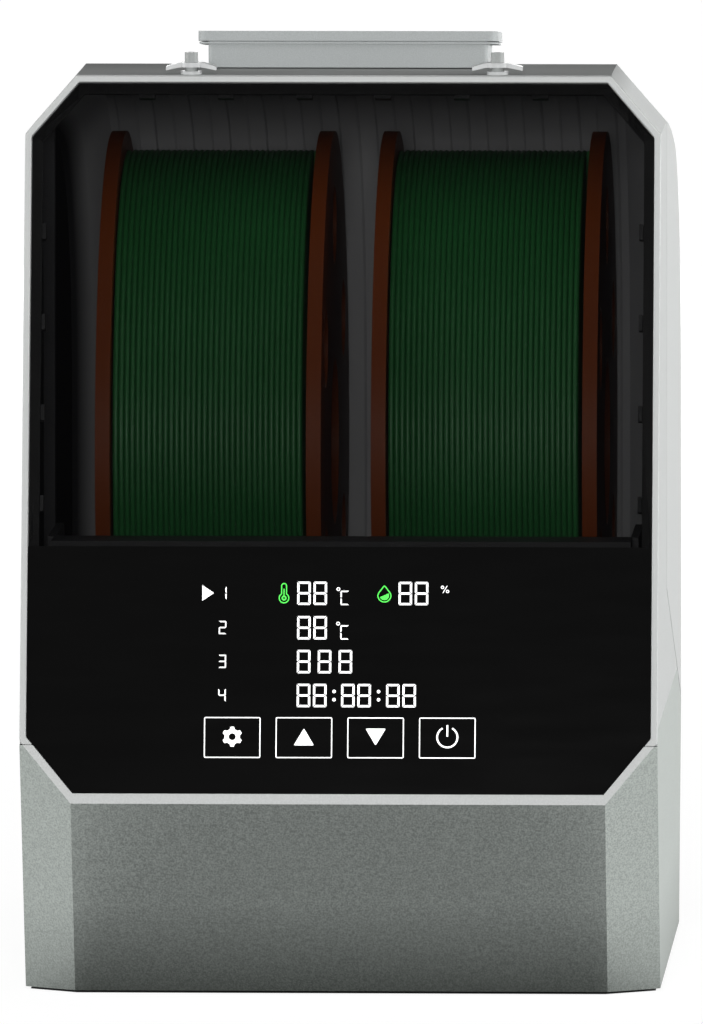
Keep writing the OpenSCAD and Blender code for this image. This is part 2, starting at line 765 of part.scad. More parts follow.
module bearings(s, y) {
    len = roller_x[1] - roller_x[0];
    color("silver") translate([s * (roller_x[0] + len / 2), y, roller_z]) rotate([0, 90, 0])
        for (e = [-1, 1]) translate([0, 0, e * (len - bearing_w) / 2 - bearing_w / 2]) difference() {
            cylinder(r = bearing_r, h = bearing_w);
            translate([0, 0, -1]) cylinder(r = axle_r + run_gap, h = bearing_w + 2);
            for (f = [-1, 1]) translate([0, 0, bearing_w / 2 + f * bearing_w / 2 - 0.3]) difference() {
                cylinder(r = bearing_r - 0.8, h = 0.6);
                translate([0, 0, -1]) cylinder(r = axle_r + 0.9, h = 3);
            }
        }
}
module roller_front_left() { roller(-1, spool_y - roller_dy); }
module roller_front_right() { roller(1, spool_y - roller_dy); }
module roller_rear_left() { roller(-1, spool_y + roller_dy); }
module roller_rear_right() { roller(1, spool_y + roller_dy); }
module bearings_front_left() { bearings(-1, spool_y - roller_dy); }
module bearings_front_right() { bearings(1, spool_y - roller_dy); }
module bearings_rear_left() { bearings(-1, spool_y + roller_dy); }
module bearings_rear_right() { bearings(1, spool_y + roller_dy); }

// Spool: two flanges with round windows on a hub
window_n = 6;
window_r = 13;
module spool(s) {
    mid_r = (hub_r + winding_r) / 2 + 3;
    color([0.45, 0.2, 0.08]) translate([s * spool_x, spool_y, spool_z]) rotate([0, 90, 0]) difference() {
        union() {
            for (e = [-1, 1]) translate([0, 0, e * (spool_w - flange_t) / 2 - flange_t / 2]) difference() {
                cylinder(r = spool_r, h = flange_t, $fn = 128);
                for (k = [0:window_n - 1]) rotate([0, 0, k * 360 / window_n]) translate([mid_r, 0, -1])
                    cylinder(r = window_r, h = flange_t + 2);
            }
            translate([0, 0, -spool_w / 2]) cylinder(r = hub_r, h = spool_w);
        }
        translate([0, 0, -spool_w / 2 - 1]) cylinder(r = hub_bore_r, h = spool_w + 2);
    }
}
turns = floor((spool_w - 2 * flange_t - 0.2) / filament_d);
module filament(s) {
    w = turns * filament_d;
    color([0.05, 0.3, 0.12]) translate([s * spool_x, spool_y, spool_z]) rotate([0, 90, 0])
        rotate_extrude($fn = 128)
        polygon(concat(
            [[hub_r, w / 2], [hub_r, -w / 2]],
            [for (k = [0:turns - 1]) for (p = [[-filament_d / 2, -w / 2], [0, filament_d / 2 - w / 2]])
                [winding_r + p[0], k * filament_d + p[1]]],
            [[winding_r - filament_d / 2, w / 2]]
        ));
}
module spool_left() { spool(-1); }
module spool_right() { spool(1); }
module filament_left() { filament(-1); }
module filament_right() { filament(1); }

// ---- heater and fan ---------------------------------------------------------------------

module chamber_grille() {
    slot = 3;
    color([0.2, 0.2, 0.21]) difference() {
        union() {
            translate([-grille_w / 2, spool_y - grille_w / 2, floor_z]) cube([grille_w, grille_w, 2]);
            translate([-hole_w / 2 + 0.2, spool_y - hole_w / 2 + 0.2, floor_z - 2])
                cube([hole_w - 0.4, hole_w - 0.4, 2]);
        }
        for (k = [-4:4]) if ((abs(k) + 1) * 5.6 < hole_w / 2)
            translate([k * 5.6 - slot / 2, spool_y - hole_w / 2 + 4, floor_z - 3])
                cube([slot, hole_w - 8, 6]);
    }
}
duct_wall = 1.6;
fan_hole = fan_w / 2 - 5;
module heater_duct() {
    color([0.25, 0.25, 0.26]) difference() {
        union() {
            translate([-fan_w / 2, spool_y - fan_w / 2, fan_z1]) cube([fan_w, fan_w, duct_h]);
            translate([-fan_w / 2 - 5, spool_y - fan_w / 2 - 5, liner_bottom - 2])
                cube([fan_w + 10, fan_w + 10, 2]);
        }
        difference() {
            translate([duct_wall - fan_w / 2, spool_y + duct_wall - fan_w / 2, fan_z1 - 1])
                cube([fan_w - 2 * duct_wall, fan_w - 2 * duct_wall, duct_h + 2]);
            // Corner bosses for the fan's screws, and the two rails of the heater
            for (x = [-1, 1]) for (y = [-1, 1])
                translate([x * fan_hole, spool_y + y * fan_hole, fan_z1 - 2]) cylinder(r = 3.6, h = 8);
            for (y = [-1, 1]) translate([-fan_w / 2, spool_y + y * (fan_w / 2 - 3) - 3, fan_z1 + 8])
                cube([fan_w, 6, 2]);
        }
        for (x = [-1, 1]) for (y = [-1, 1])
            translate([x * fan_hole, spool_y + y * fan_hole, fan_z1 - 3]) cylinder(r = screw_r - 0.25, h = 8);
    }
}
fin_n = 13;
heater_h = 12;
module heater_core() {
    w = fan_w - 2 * duct_wall - 0.6;
    z = fan_z1 + 10;
    color("silver") {
        for (y = [-1, 0, 1]) translate([-w / 2, spool_y + y * (w / 2 - 3) - 2, z]) cube([w, 4, heater_h]);
        for (k = [0:fin_n]) translate([(k / fin_n - 0.5) * (w - 1) - 0.5, spool_y - w / 2 + 3, z + 1])
            cube([1, w - 6, heater_h - 2]);
    }
}
blade_n = 7;
fan_bore = fan_w / 2 - 1.6;
fan_hub_r = 13;
fan_pin_r = 1.5;
module fan_frame() {
    color([0.1, 0.1, 0.1]) difference() {
        union() {
            difference() {
                translate([-fan_w / 2, spool_y - fan_w / 2, fan_z0]) cube([fan_w, fan_w, fan_h]);
                translate([0, spool_y, fan_z0 - 1]) cylinder(r = fan_bore, h = fan_h + 2);
            }
            // Motor seat on four struts, with the pin that the rotor turns on
            for (a = [0:90:270]) translate([0, spool_y, fan_z0]) rotate([0, 0, a + 45])
                translate([0, -1.5, 0]) cube([fan_bore + 1, 3, 2]);
            translate([0, spool_y, fan_z0]) cylinder(r = fan_hub_r, h = 2);
            translate([0, spool_y, fan_z0]) cylinder(r = fan_pin_r, h = fan_h - 3);
        }
        for (x = [-1, 1]) for (y = [-1, 1])
            translate([x * fan_hole, spool_y + y * fan_hole, fan_z0 - 1])
                cylinder(r = screw_r + 0.25, h = fan_h + 2);
    }
}
blade_t = 1.6;
blade_tilt = 52;
module fan_rotor() {
    z0 = fan_z0 + 2.6;
    h = fan_h - 4.6;
    blade_l = (h - 1.4) / sin(blade_tilt);
    blade_end = sqrt(pow(fan_bore - 0.8, 2) - pow(blade_l / 2, 2));
    color([0.16, 0.16, 0.16]) translate([0, spool_y, z0]) difference() {
        union() {
            cylinder(r = fan_hub_r, h = h);
            for (k = [0:blade_n - 1]) rotate([0, 0, k * 360 / blade_n])
                translate([fan_hub_r - 1, 0, h / 2]) rotate([-blade_tilt, 0, 0])
                    translate([0, -blade_l / 2, -blade_t / 2])
                        cube([blade_end - fan_hub_r + 1, blade_l, blade_t]);
        }
        translate([0, 0, -1]) cylinder(r = fan_pin_r + run_gap, h = h + 2);
    }
}

// Humidity and temperature sensor in its slotted cap, on the liner's front wall
sensor_x = 70;
sensor_z = 104;
sensor_d = liner_front + liner_t;
module humidity_sensor() {
    color([0.85, 0.86, 0.86]) on_front() difference() {
        translate([sensor_x - 9, up_front(sensor_z) - 13, -sensor_d - 7]) cube([18, 26, 7]);
        translate([sensor_x - 7.5, up_front(sensor_z) - 11.5, -sensor_d - 5.5]) cube([15, 23, 4.5]);
        for (k = [-3:3]) translate([sensor_x - 6, up_front(sensor_z) + k * 3 - 0.7, -sensor_d - 9])
            cube([12, 1.4, 6]);
    }
    color([0.1, 0.35, 0.2]) on_front() translate([sensor_x - 7.5, up_front(sensor_z) - 11.5, -sensor_d - 2.6])
        cube([15, 23, 1.6]);
}

// ---- electronics ------------------------------------------------------------------------

control_at = [-58, front + 70];
control_size = [62, 64];
supply_at = [62, spool_y - 10];
supply_size = [46, 84];
module at_board(at, size) {
    for (x = [-1, 1]) for (y = [-1, 1])
        translate([at[0] + x * (size[0] / 2 - 4), at[1] + y * (size[1] / 2 - 4), cover_top]) children();
}
module board(at, size) {
    difference() {
        translate([at[0] - size[0] / 2, at[1] - size[1] / 2, board_z]) cube([size[0], size[1], 1.6]);
        at_board(at, size) cylinder(r = 1.6, h = 20);
    }
}
module control_board() {
    color([0.05, 0.3, 0.2]) translate([0, 0, 0]) union() {
        board(control_at, control_size);
        translate([control_at[0], control_at[1], board_z + 1.6]) {
            translate([-6, -6, 0]) cube([12, 12, 1.4]);
            translate([-24, -14, 0]) cube([8, 28, 8]);
            translate([14, 2, 0]) cube([12, 15, 14]);
            translate([8, -25, 0]) cube([18, 7, 7]);
            translate([-20, 22, 0]) cube([26, 6, 8]);
            translate([0, 12, 0]) cylinder(r = 4, h = 11);
        }
    }
}
module power_supply() {
    end = supply_size[1] / 2;
    color([0.05, 0.3, 0.2]) union() {
        board(supply_at, supply_size);
        translate([supply_at[0], supply_at[1], board_z + 1.6]) {
            translate([-14, -12, 0]) cube([26, 22, 20]);
            translate([8, 14 - end, 0]) cylinder(r = 8, h = 24);
            translate([-10, 12 - end, 0]) cylinder(r = 5, h = 18);
            translate([-8, end - 27, 0]) cube([18, 14, 16]);
            translate([-20, 8 - end, 0]) cube([2, 2 * end - 22, 24]);
            translate([-10, end - 10, 0]) cube([20, 8, 9]);
        }
    }
}

module mains_inlet() {
    color(dark) on_back(inlet_x, inlet_z) difference() {
        union() {
            translate([-15.5, -12, 0]) cube([31, 24, 2.2]);
            translate([-13.4, -9.7, -17]) cube([26.8, 19.4, 17.2]);
        }
        translate([-12, -8, -14.5]) cube([24, 16, 20]);
        for (p = pins) translate([p[0] - 2, p[1] - 1, -20]) cube([4, 2, 8]);
    }
}
pins = [[-7, -1.5], [7, -1.5], [0, 3]];
module inlet_pins() {
    color("gold") on_back(inlet_x, inlet_z) for (p = pins)
        translate([p[0] - 2, p[1] - 1, -21]) cube([4, 2, 18]);
}

// ---- wires --------------------------------------------------------------------------------

// Round tube through a list of points
module wire(path, r, sides = 8) {
    n = len(path);
    function dir(i) = let (d = path[min(i + 1, n - 1)] - path[max(i - 1, 0)]) d / norm(d);
    function side(i) = let (c = cross(dir(i), abs(dir(i)[0]) > 0.9 ? [0, 1, 0] : [1, 0, 0])) c / norm(c);
    rings = [for (i = [0:n - 1]) let (u = side(i), v = cross(dir(i), u))
        for (k = [0:sides - 1]) path[i] + r * (cos(k * 360 / sides) * u + sin(k * 360 / sides) * v)];
    faces = concat(
        [[for (k = [0:sides - 1]) k]],
        [for (i = [0:n - 2]) for (k = [0:sides - 1]) let (a = i * sides, b = a + sides, m = (k + 1) % sides)
            each [[a + k, b + k, b + m], [a + k, b + m, a + m]]],
        [[for (k = [sides - 1:-1:0]) (n - 1) * sides + k]]
    );
    polyhedron(rings, faces);
}

// Smooth path with straight ends from point a along u to point b along v
function bend(a, u, b, v, n = 12) = [for (i = [0:n]) let (t = i / n, p = a + u, q = b + v)
    pow(1 - t, 3) * a + 3 * t * pow(1 - t, 2) * p + 3 * t * t * (1 - t) * q + pow(t, 3) * b];

function back_point(p) = let (tilt = atan(back_under / seam_back_z))
    [inlet_x - p[0], back_y(inlet_z) + p[1] * sin(tilt) + p[2] * cos(tilt),
     inlet_z + p[1] * cos(tilt) - p[2] * sin(tilt)];
function front_point(p) = [
    p[0], front + p[1] * sin(lean) - p[2] * cos(lean), nose_z + p[1] * cos(lean) + p[2] * sin(lean)
];

module mains_leads() {
    wire_r = 1.3;
    color([0.1, 0.1, 0.1]) for (i = [0, 1]) {
        a = back_point([pins[i][0], pins[i][1], -21]);
        b = [supply_at[0] + (i == 0 ? 3 : -3), supply_at[1] + supply_size[1] / 2 - 2, board_z + 7];
        wire(bend(a, a - back_point([pins[i][0], pins[i][1], -3]), b, [0, 24, 0]), wire_r);
    }
}
module display_cable() {
    a = front_point([0, display_s0 + 3, -panel_back - display_t - 2]);
    b = [control_at[0] + 13, control_at[1] - 25, board_z + 5];
    down = [0, -50 * sin(lean), -50 * cos(lean)];
    color([0.1, 0.1, 0.1]) wire(concat(bend(a, down, b - [0, 1, 0], [0, -20, 0]), [b]), 1.6);
}
module fan_lead() {
    a = [-fan_w / 2, spool_y - 14, fan_z0 + 7];
    b = [control_at[0], control_at[1] + 28, board_z + 5];
    color([0.1, 0.1, 0.1]) wire(bend(a, [-20, 0, 0], b, [0, 22, 0]), 1.2);
}
module sensor_lead() {
    a = front_point([sensor_x, up_front(sensor_z), -sensor_d]);
    c = front_point([sensor_x - 14, up_front(68), -15]);
    b = [control_at[0] + 21, control_at[1] - 25, board_z + 5];
    color([0.1, 0.1, 0.1]) wire(concat(
        bend(a, front_point([0, 0, 14]) - front_point([0, 0, 0]), c, [10, 0, 22], 8),
        [for (p = bend(c, [-14, 0, -31], b - [0, 1, 0], [0, -18, 0], 10)) if (p != c) p],
        [b]
    ), 1.1);
}

// ---- fasteners -----------------------------------------------------------------------------

// Screw with its head below z and its shaft up, or the other way round with dir = -1
module screw(head_r, head_h, r, length, dir = 1) {
    mirror([0, 0, dir < 0 ? 1 : 0]) {
        translate([0, 0, -head_h]) cylinder(r = head_r, h = head_h);
        translate([0, 0, -0.2]) cylinder(r = r, h = length + 0.2);
    }
}
module at_liner_screws(z) {
    both_sides() for (y = [spool_y - 75, back - 39]) translate([liner_x - 6, y, z]) children();
}
module at_cradle_screws(z) {
    both_sides() for (sy = [-1, 1]) translate([cradle_hole_x, spool_y + sy * roller_dy, z]) children();
}
module liner_screws() {
    color("silver") at_liner_screws(floor_z) screw(2.8, 1.8, screw_r - 0.25, 10, -1);
}
module cradle_screws() {
    color("silver") at_cradle_screws(floor_z + cradle_t) screw(2.8, 1.6, screw_r - 0.25, 8, -1);
}
module fan_screws() {
    color("silver") for (x = [-1, 1]) for (y = [-1, 1])
        translate([x * fan_hole, spool_y + y * fan_hole, fan_z0]) screw(2.8, 1.8, screw_r - 0.25, fan_h + 5);
}
module board_screws() {
    color("silver") {
        at_board(control_at, control_size) translate([0, 0, board_z + 1.6 - cover_top])
            screw(2.4, 1.4, 1, 5.6, -1);
        at_board(supply_at, supply_size) translate([0, 0, board_z + 1.6 - cover_top])
            screw(2.4, 1.4, 1, 5.6, -1);
    }
}
pin_len = 3 * knuckle_w + 2 * knuckle_gap;
module hinge_pins() {
    color("silver") for (s = [-1, 1])
        bar_x(s * hinge_x - pin_len / 2, s * hinge_x + pin_len / 2, hinge_y, hinge_z, pin_r);
}
module lid_seal() {
    color([0.1, 0.1, 0.1]) seam_ring(seal_d0, seal_d1, -3, -0.2);
}
keeper_x = 28;
handle_y = seam_top_y - handle_over;
keeper_y = handle_y + 9;
module keeper_plates() {
    color("silver") both_sides() translate([keeper_x, keeper_y, top_z - 1.2]) cylinder(r = 5, h = 1.2);
}

// ---- lid --------------------------------------------------------------------------------------

inner_corner = arch_in(wall)[2];
inner_top = arch_in(wall)[3];

// Swept section of the lid: the ribbed skin, the cut corners, and the head of the side walls.
// It is drawn too wide, and the flat side walls start behind it, slightly thicker.
side_over = 5;
side_from = 26;
sweep_to = 30;
side_extra = 0.4;
over_x = half_w + side_over;
over_v = (band_x - over_x) * corner_z / corner_x;
lid_section = concat(
    [[-over_x, -sweep_to], [-over_x, over_v]], ribbed(0, band_x), [[over_x, over_v], [over_x, -sweep_to]],
    [[half_w - wall, -sweep_to], [half_w - wall, inner_corner[1] - top_z]],
    reversed(ribbed(-wall, inner_top[0])),
    [[wall - half_w, inner_corner[1] - top_z], [wall - half_w, -sweep_to]]
);
module lid_form() {
    intersection() {
        union() {
            roof_sweep(lid_section, seam_back_z - 10);
            both_sides() along_x(half_w - wall - side_extra, over_x + 1) roof_side(side_from);
        }
        translate([-half_w, seam_a[0] - 15, -1]) cube([box_w, box_d, far]);
    }
}
relief_r = knuckle_r + 2.3;
pad_len = 16;
pad_t = 4;
handle_hole_y = seam_top_y + 8;
handle_hole_x = [-30, 0, 30];
module rear_lid() {
    color(grey) difference() {
        union() {
            difference() {
                intersection() {
                    union() {
                        lid_form();
                        // Flat pad that the handle stands on
                        translate([-handle_x + 1, seam_top_y - 2, top_z - pad_t])
                            cube([2 * handle_x - 2, pad_len + 2, pad_t]);
                    }
                    along_x(-half_w - 1, half_w + 1) lid_side(seam_gap);
                }
                bar_x(-half_w - 1, half_w + 1, hinge_y, hinge_z, relief_r);
            }
            // Lip that presses on the seal
            seam_ring(wall - 0.5, wall + 2.6, seam_gap, seam_gap + 2.5);
            for (s = [-1, 1]) {
                bar_x(s * hinge_x - knuckle_w / 2, s * hinge_x + knuckle_w / 2, hinge_y, hinge_z, knuckle_r);
                translate([s * hinge_x - knuckle_w / 2, hinge_y - 1, hinge_z])
                    cube([knuckle_w, back - hinge_y, knuckle_r + 6]);
            }
        }
        bar_x(-half_w, half_w, hinge_y, hinge_z, pin_r + run_gap);
        // Holes of the handle's screws, with room for their heads
        for (x = handle_hole_x) translate([x, handle_hole_y, top_z - 12]) {
            cylinder(r = screw_r + 0.2, h = 20);
            cylinder(r = 3.4, h = 12 - pad_t);
        }
    }
}

// Slab with round corners in plan
module round_slab(x, y0, y1, z0, z1, r) {
    translate([0, 0, z0]) linear_extrude(z1 - z0) union() {
        translate([-x, y0 + r]) square([2 * x, y1 - y0 - 2 * r]);
        translate([-x + r, y0]) square([2 * (x - r), y1 - y0]);
        for (sx = [-1, 1]) for (y = [y0 + r, y1 - r]) translate([sx * (x - r), y]) circle(r = r);
    }
}
handle_end = seam_top_y + pad_len - 1;
magnet_h = 2;
neck_gap = 0.4;
cap_front = 1.5;
cap_fall = 4.5;
// From the cap's front edge, with the cap falling towards the back
module on_cap() {
    translate([0, handle_y - cap_front, top_z + handle_h]) rotate([-cap_fall, 0, 0]) children();
}
module lid_handle() {
    cap_len = handle_end + 2 - handle_y + cap_front;
    cap_x = handle_x + cap_over;
    color(grey) difference() {
        union() {
            difference() {
                round_slab(handle_x, handle_y, handle_end, top_z, top_z + handle_h, 1.5);
                on_cap() translate([-cap_x, -5, 0.1 - cap_t]) cube([2 * cap_x, cap_len + 10, 20]);
            }
            on_cap() round_slab(cap_x - 0.3, 0.3, cap_len - 0.3, -cap_t - 0.9, -cap_t - 0.3, 3);
            on_cap() round_slab(cap_x, 0, cap_len, -cap_t, 0, 3);
        }
        translate([-handle_x - 1, handle_y - 1, top_z - 1])
            cube([2 * handle_x + 2, seam_top_y + seam_gap + 1 - handle_y, 1 + neck_gap]);
        both_sides() translate([keeper_x, keeper_y, top_z]) cylinder(r = 4, h = neck_gap + magnet_h);
        for (x = handle_hole_x)
            translate([x, handle_hole_y, top_z - 1]) cylinder(r = screw_r - 0.25, h = 7);
    }
}
module lid_magnets() {
    color("silver") both_sides()
        translate([keeper_x, keeper_y, top_z + neck_gap]) cylinder(r = 4, h = magnet_h);
}
module handle_screws() {
    color("silver") for (x = handle_hole_x)
        translate([x, handle_hole_y, top_z - pad_t]) screw(3, 1.8, screw_r - 0.25, pad_t + 5);
}

// ---- outlets ------------------------------------------------------------------------------------

stem_r = 3;
outlet_down = 5;
tube_down = 6;
module outlet(s) {
    color([0.75, 0.76, 0.76]) translate([s * outlet_x, outlet_y, top_z]) difference() {
        union() {
            cylinder(r = stem_r + 0.4, h = 1);
            translate([0, 0, -outlet_down]) cylinder(r = stem_r, h = outlet_down + 0.5);
            translate([0, 0, -wall - 1.6]) cylinder(r = stem_r + 0.9, h = 1.6);
        }
        translate([0, 0, -8]) cylinder(r = tube_r, h = 12);
    }
}
module collar(s) {
    rise = collar_travel + 1.3;
    wing = [[3, rise], [4.4, rise - 0.2], [8, rise - 1], [8, rise + 0.2], [4.2, rise + 1.3], [3, rise + 1.5]];
    color([0.75, 0.76, 0.76]) translate([s * outlet_x, outlet_y, top_z]) difference() {
        union() {
            translate([0, 0, rise]) cylinder(r = 3.9, h = 1.5);
            both_sides() along_y(-2.6, 2.6) polygon(wing);
        }
        translate([0, 0, 1]) cylinder(r = tube_r + run_gap, h = 4);
    }
}
module tube(s) {
    color([0.9, 0.9, 0.9]) translate([s * outlet_x, outlet_y, top_z - tube_down]) difference() {
        cylinder(r = tube_r, h = tube_down + tube_up);
        translate([0, 0, -1]) cylinder(r = tube_bore_r, h = tube_down + tube_up + 2);
    }
}
module outlet_left() { outlet(-1); }
module outlet_right() { outlet(1); }
module collar_left() { collar(-1); }
module collar_right() { collar(1); }
module tube_left() { tube(-1); }
module tube_right() { tube(1); }

base_housing();
bottom_cover();
front_bezel();
front_window();
touch_panel();
window_foam();
window_clips();
display_module();
touch_board();
chamber_liner();
roller_cradle();
front_axle();
rear_axle();
chamber_grille();
heater_duct();
heater_core();
fan_frame();
fan_rotor();
humidity_sensor();
control_board();
power_supply();
mains_inlet();
inlet_pins();
mains_leads();
display_cable();
fan_lead();
sensor_lead();
rubber_feet();
cover_screws();
liner_screws();
cradle_screws();
fan_screws();
board_screws();
hinge_pins();
lid_seal();
keeper_plates();
rear_lid();
lid_handle();
handle_screws();
lid_magnets();
spool_left();
spool_right();
filament_left();
filament_right();
roller_front_left();
roller_front_right();
roller_rear_left();
roller_rear_right();
bearings_front_left();
bearings_front_right();
bearings_rear_left();
bearings_rear_right();
outlet_left();
outlet_right();
collar_left();
collar_right();
tube_left();
tube_right();
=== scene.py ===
"""Filament dryer box for two spools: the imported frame, dressed piece by piece as it is put together."""
from math import cos, pi, radians, sin, tau

import bmesh
import bpy
from mathutils import Matrix, Vector


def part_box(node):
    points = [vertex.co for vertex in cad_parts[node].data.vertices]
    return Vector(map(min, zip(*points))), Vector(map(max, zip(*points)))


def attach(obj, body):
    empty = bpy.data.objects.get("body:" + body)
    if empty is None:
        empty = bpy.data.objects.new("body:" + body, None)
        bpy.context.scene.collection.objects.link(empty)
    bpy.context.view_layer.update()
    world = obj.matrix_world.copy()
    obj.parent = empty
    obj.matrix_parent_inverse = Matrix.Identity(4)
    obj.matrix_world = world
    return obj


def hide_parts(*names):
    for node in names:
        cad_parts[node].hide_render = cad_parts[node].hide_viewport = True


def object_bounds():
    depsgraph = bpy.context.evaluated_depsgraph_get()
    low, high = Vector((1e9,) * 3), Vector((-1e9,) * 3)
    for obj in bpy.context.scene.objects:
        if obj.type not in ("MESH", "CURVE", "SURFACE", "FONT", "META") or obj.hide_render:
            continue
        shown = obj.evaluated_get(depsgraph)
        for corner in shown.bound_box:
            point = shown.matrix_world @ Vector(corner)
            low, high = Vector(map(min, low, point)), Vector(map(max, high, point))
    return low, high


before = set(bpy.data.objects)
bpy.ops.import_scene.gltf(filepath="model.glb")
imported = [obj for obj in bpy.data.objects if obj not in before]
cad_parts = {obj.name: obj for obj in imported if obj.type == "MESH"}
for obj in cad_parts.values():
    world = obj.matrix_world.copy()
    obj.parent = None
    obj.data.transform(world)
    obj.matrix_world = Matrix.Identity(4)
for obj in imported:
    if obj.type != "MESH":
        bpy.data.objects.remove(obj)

cad_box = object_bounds()
scene = bpy.context.scene
scene.view_settings.view_transform = "Standard"
mm = 0.001


# ---- The place it stands in --------------------------------------------------------------
# A pale floor in a white room, lit by wide lamps at both sides and behind, two weaker ones in
# front and a strip in the roof. The camera stands seven metres off and looks slightly down.

camera_place = (0.3125, -6.8766, 0.7604)
camera_turn, camera_tilt, camera_roll = radians(2.6153), radians(5.1208), radians(-0.0919)
camera_data = bpy.data.cameras.new("camera")
camera_data.sensor_width, camera_data.lens, camera_data.clip_end = 36, 754.46, 100
camera = bpy.data.objects.new("camera", camera_data)
camera.matrix_world = (
    Matrix.Translation(camera_place)
    @ Matrix.Rotation(camera_turn, 4, "Z")
    @ Matrix.Rotation(pi / 2 - camera_tilt, 4, "X")
    @ Matrix.Rotation(camera_roll, 4, "Z")
)
scene.collection.objects.link(camera)
scene.camera = camera

middle = (cad_box[0] + cad_box[1]) / 2


def lamp(name, azimuth, elevation, distance, size, level):
    """A soft square lamp aimed at the box; level is what it gives a surface that faces it."""
    light = bpy.data.lights.new(name, "AREA")
    light.shape, light.size = "SQUARE", size
    light.energy = level * (pi * distance) ** 2
    side, up = radians(azimuth), radians(elevation)
    away = Vector((sin(side) * cos(up), -cos(side) * cos(up), sin(up)))
    stand = bpy.data.objects.new(name, light)
    turned = away.to_track_quat("Z", "Y").to_matrix().to_4x4()
    stand.matrix_world = Matrix.Translation(middle + distance * away) @ turned
    stand.visible_camera = False
    scene.collection.objects.link(stand)


lamp("right_lamp", azimuth=87, elevation=3, distance=2.4, size=1.5, level=1.32)
lamp("left_lamp", azimuth=-76, elevation=3, distance=2.4, size=1.5, level=0.85)
lamp("front_lamp", azimuth=1, elevation=9, distance=2.6, size=0.4, level=0.5)
lamp("high_lamp", azimuth=3, elevation=50, distance=2.6, size=1.0, level=0.08)
lamp("back_lamp", azimuth=180, elevation=8, distance=2.8, size=1.4, level=0.3)
strip_place, strip_tilt, strip_watts = (0, -0.066, 0.285), radians(12), 0.022
strip = bpy.data.lights.new("chamber_strip", "AREA")
strip.shape, strip.size, strip.size_y, strip.energy = "RECTANGLE", 0.17, 0.02, strip_watts
strip_stand = bpy.data.objects.new("chamber_strip", strip)
strip_stand.matrix_world = Matrix.Translation(strip_place) @ Matrix.Rotation(strip_tilt, 4, "X")
strip_stand.visible_camera = strip_stand.visible_glossy = False
scene.collection.objects.link(strip_stand)


class Shade:
    """A socket of a node tree. Arithmetic on it adds Math nodes, and add() any other node."""

    def __init__(self, tree, socket=None):
        self.tree, self.socket = tree, socket

    def add(self, kind, sockets=None, out=0, **settings):
        """A node with its settings and the values or links of its sockets; gives one output."""
        node = self.tree.nodes.new("ShaderNode" + kind)
        for name, value in settings.items():
            setattr(node, name, value)
        for name, value in (sockets or {}).items():
            if isinstance(value, Shade):
                self.tree.links.new(value.socket, node.inputs[name])
            else:
                node.inputs[name].default_value = value
        return Shade(self.tree, node.outputs[out] if len(node.outputs) else None)

    def math(self, operation, *values):
        return self.add("Math", dict(enumerate(values)), operation=operation)

    def __add__(self, other):
        return self.math("ADD", self, other)

    def __sub__(self, other):
        return self.math("SUBTRACT", self, other)

    def __rsub__(self, other):
        return self.math("SUBTRACT", other, self)

    def __mul__(self, other):
        return self.math("MULTIPLY", self, other)

    __radd__, __rmul__ = __add__, __mul__


def seen_directly(shade):
    """1 for the rays that show the surroundings as they look, 0 for those that light things."""
    paths = [shade.add("LightPath", out=ray) for ray in
             ("Is Camera Ray", "Is Glossy Ray", "Is Transmission Ray")]
    return paths[0].math("MAXIMUM", paths[0], paths[1].math("MAXIMUM", paths[1], paths[2]))


room_light = 0.1
world = bpy.data.worlds.new("white_room")
world.use_nodes = True
world.node_tree.nodes.clear()
shade = Shade(world.node_tree)
strength = seen_directly(shade) * (1 - room_light) + room_light
background = shade.add("Background", {"Color": (1, 1, 1, 1), "Strength": strength})
shade.add("OutputWorld", {"Surface": background})
scene.world = world

floor_half = 30
floor_light, floor_seen, floor_glow, glow_rise = 0.25, 0.16, 0.9, 0.04
# The box's footprint on the floor, and how dark the painted shade in front of and round it is:
foot_wide, foot_deep, foot_slant, foot_corner = 0.0995, 0.1105, 0.695, 0.1688
front_dark, near_dark = 0.95, 0.1
floor_mesh = bpy.data.meshes.new("floor")
shape = bmesh.new()
bmesh.ops.create_grid(shape, x_segments=1, y_segments=1, size=floor_half)
shape.to_mesh(floor_mesh)
shape.free()
floor = bpy.data.objects.new("floor", floor_mesh)
scene.collection.objects.link(floor)
floor_paint = bpy.data.materials.new("floor_white")
floor_paint.use_nodes = True
floor_paint.node_tree.nodes.clear()
shade = Shade(floor_paint.node_tree)
lit = shade.add("BsdfDiffuse", {"Color": (floor_light, floor_light, floor_light, 1)})
shown = shade.add("BsdfDiffuse", {"Color": (floor_seen, floor_seen, floor_seen, 1)})
place = shade.add("TexCoord", out="Object")
away = place.add("VectorMath", {0: place}, out="Value", operation="LENGTH")
x, y = (place.add("SeparateXYZ", {"Vector": place}, out=axis) for axis in (0, 1))
across, along = x.math("ABSOLUTE", x), y.math("ABSOLUTE", y)


def ramp(value, start, end):
    """0 before the start and 1 after the end, with a straight rise between them."""
    return value.add("MapRange", {"Value": value, "From Min": start, "From Max": end})


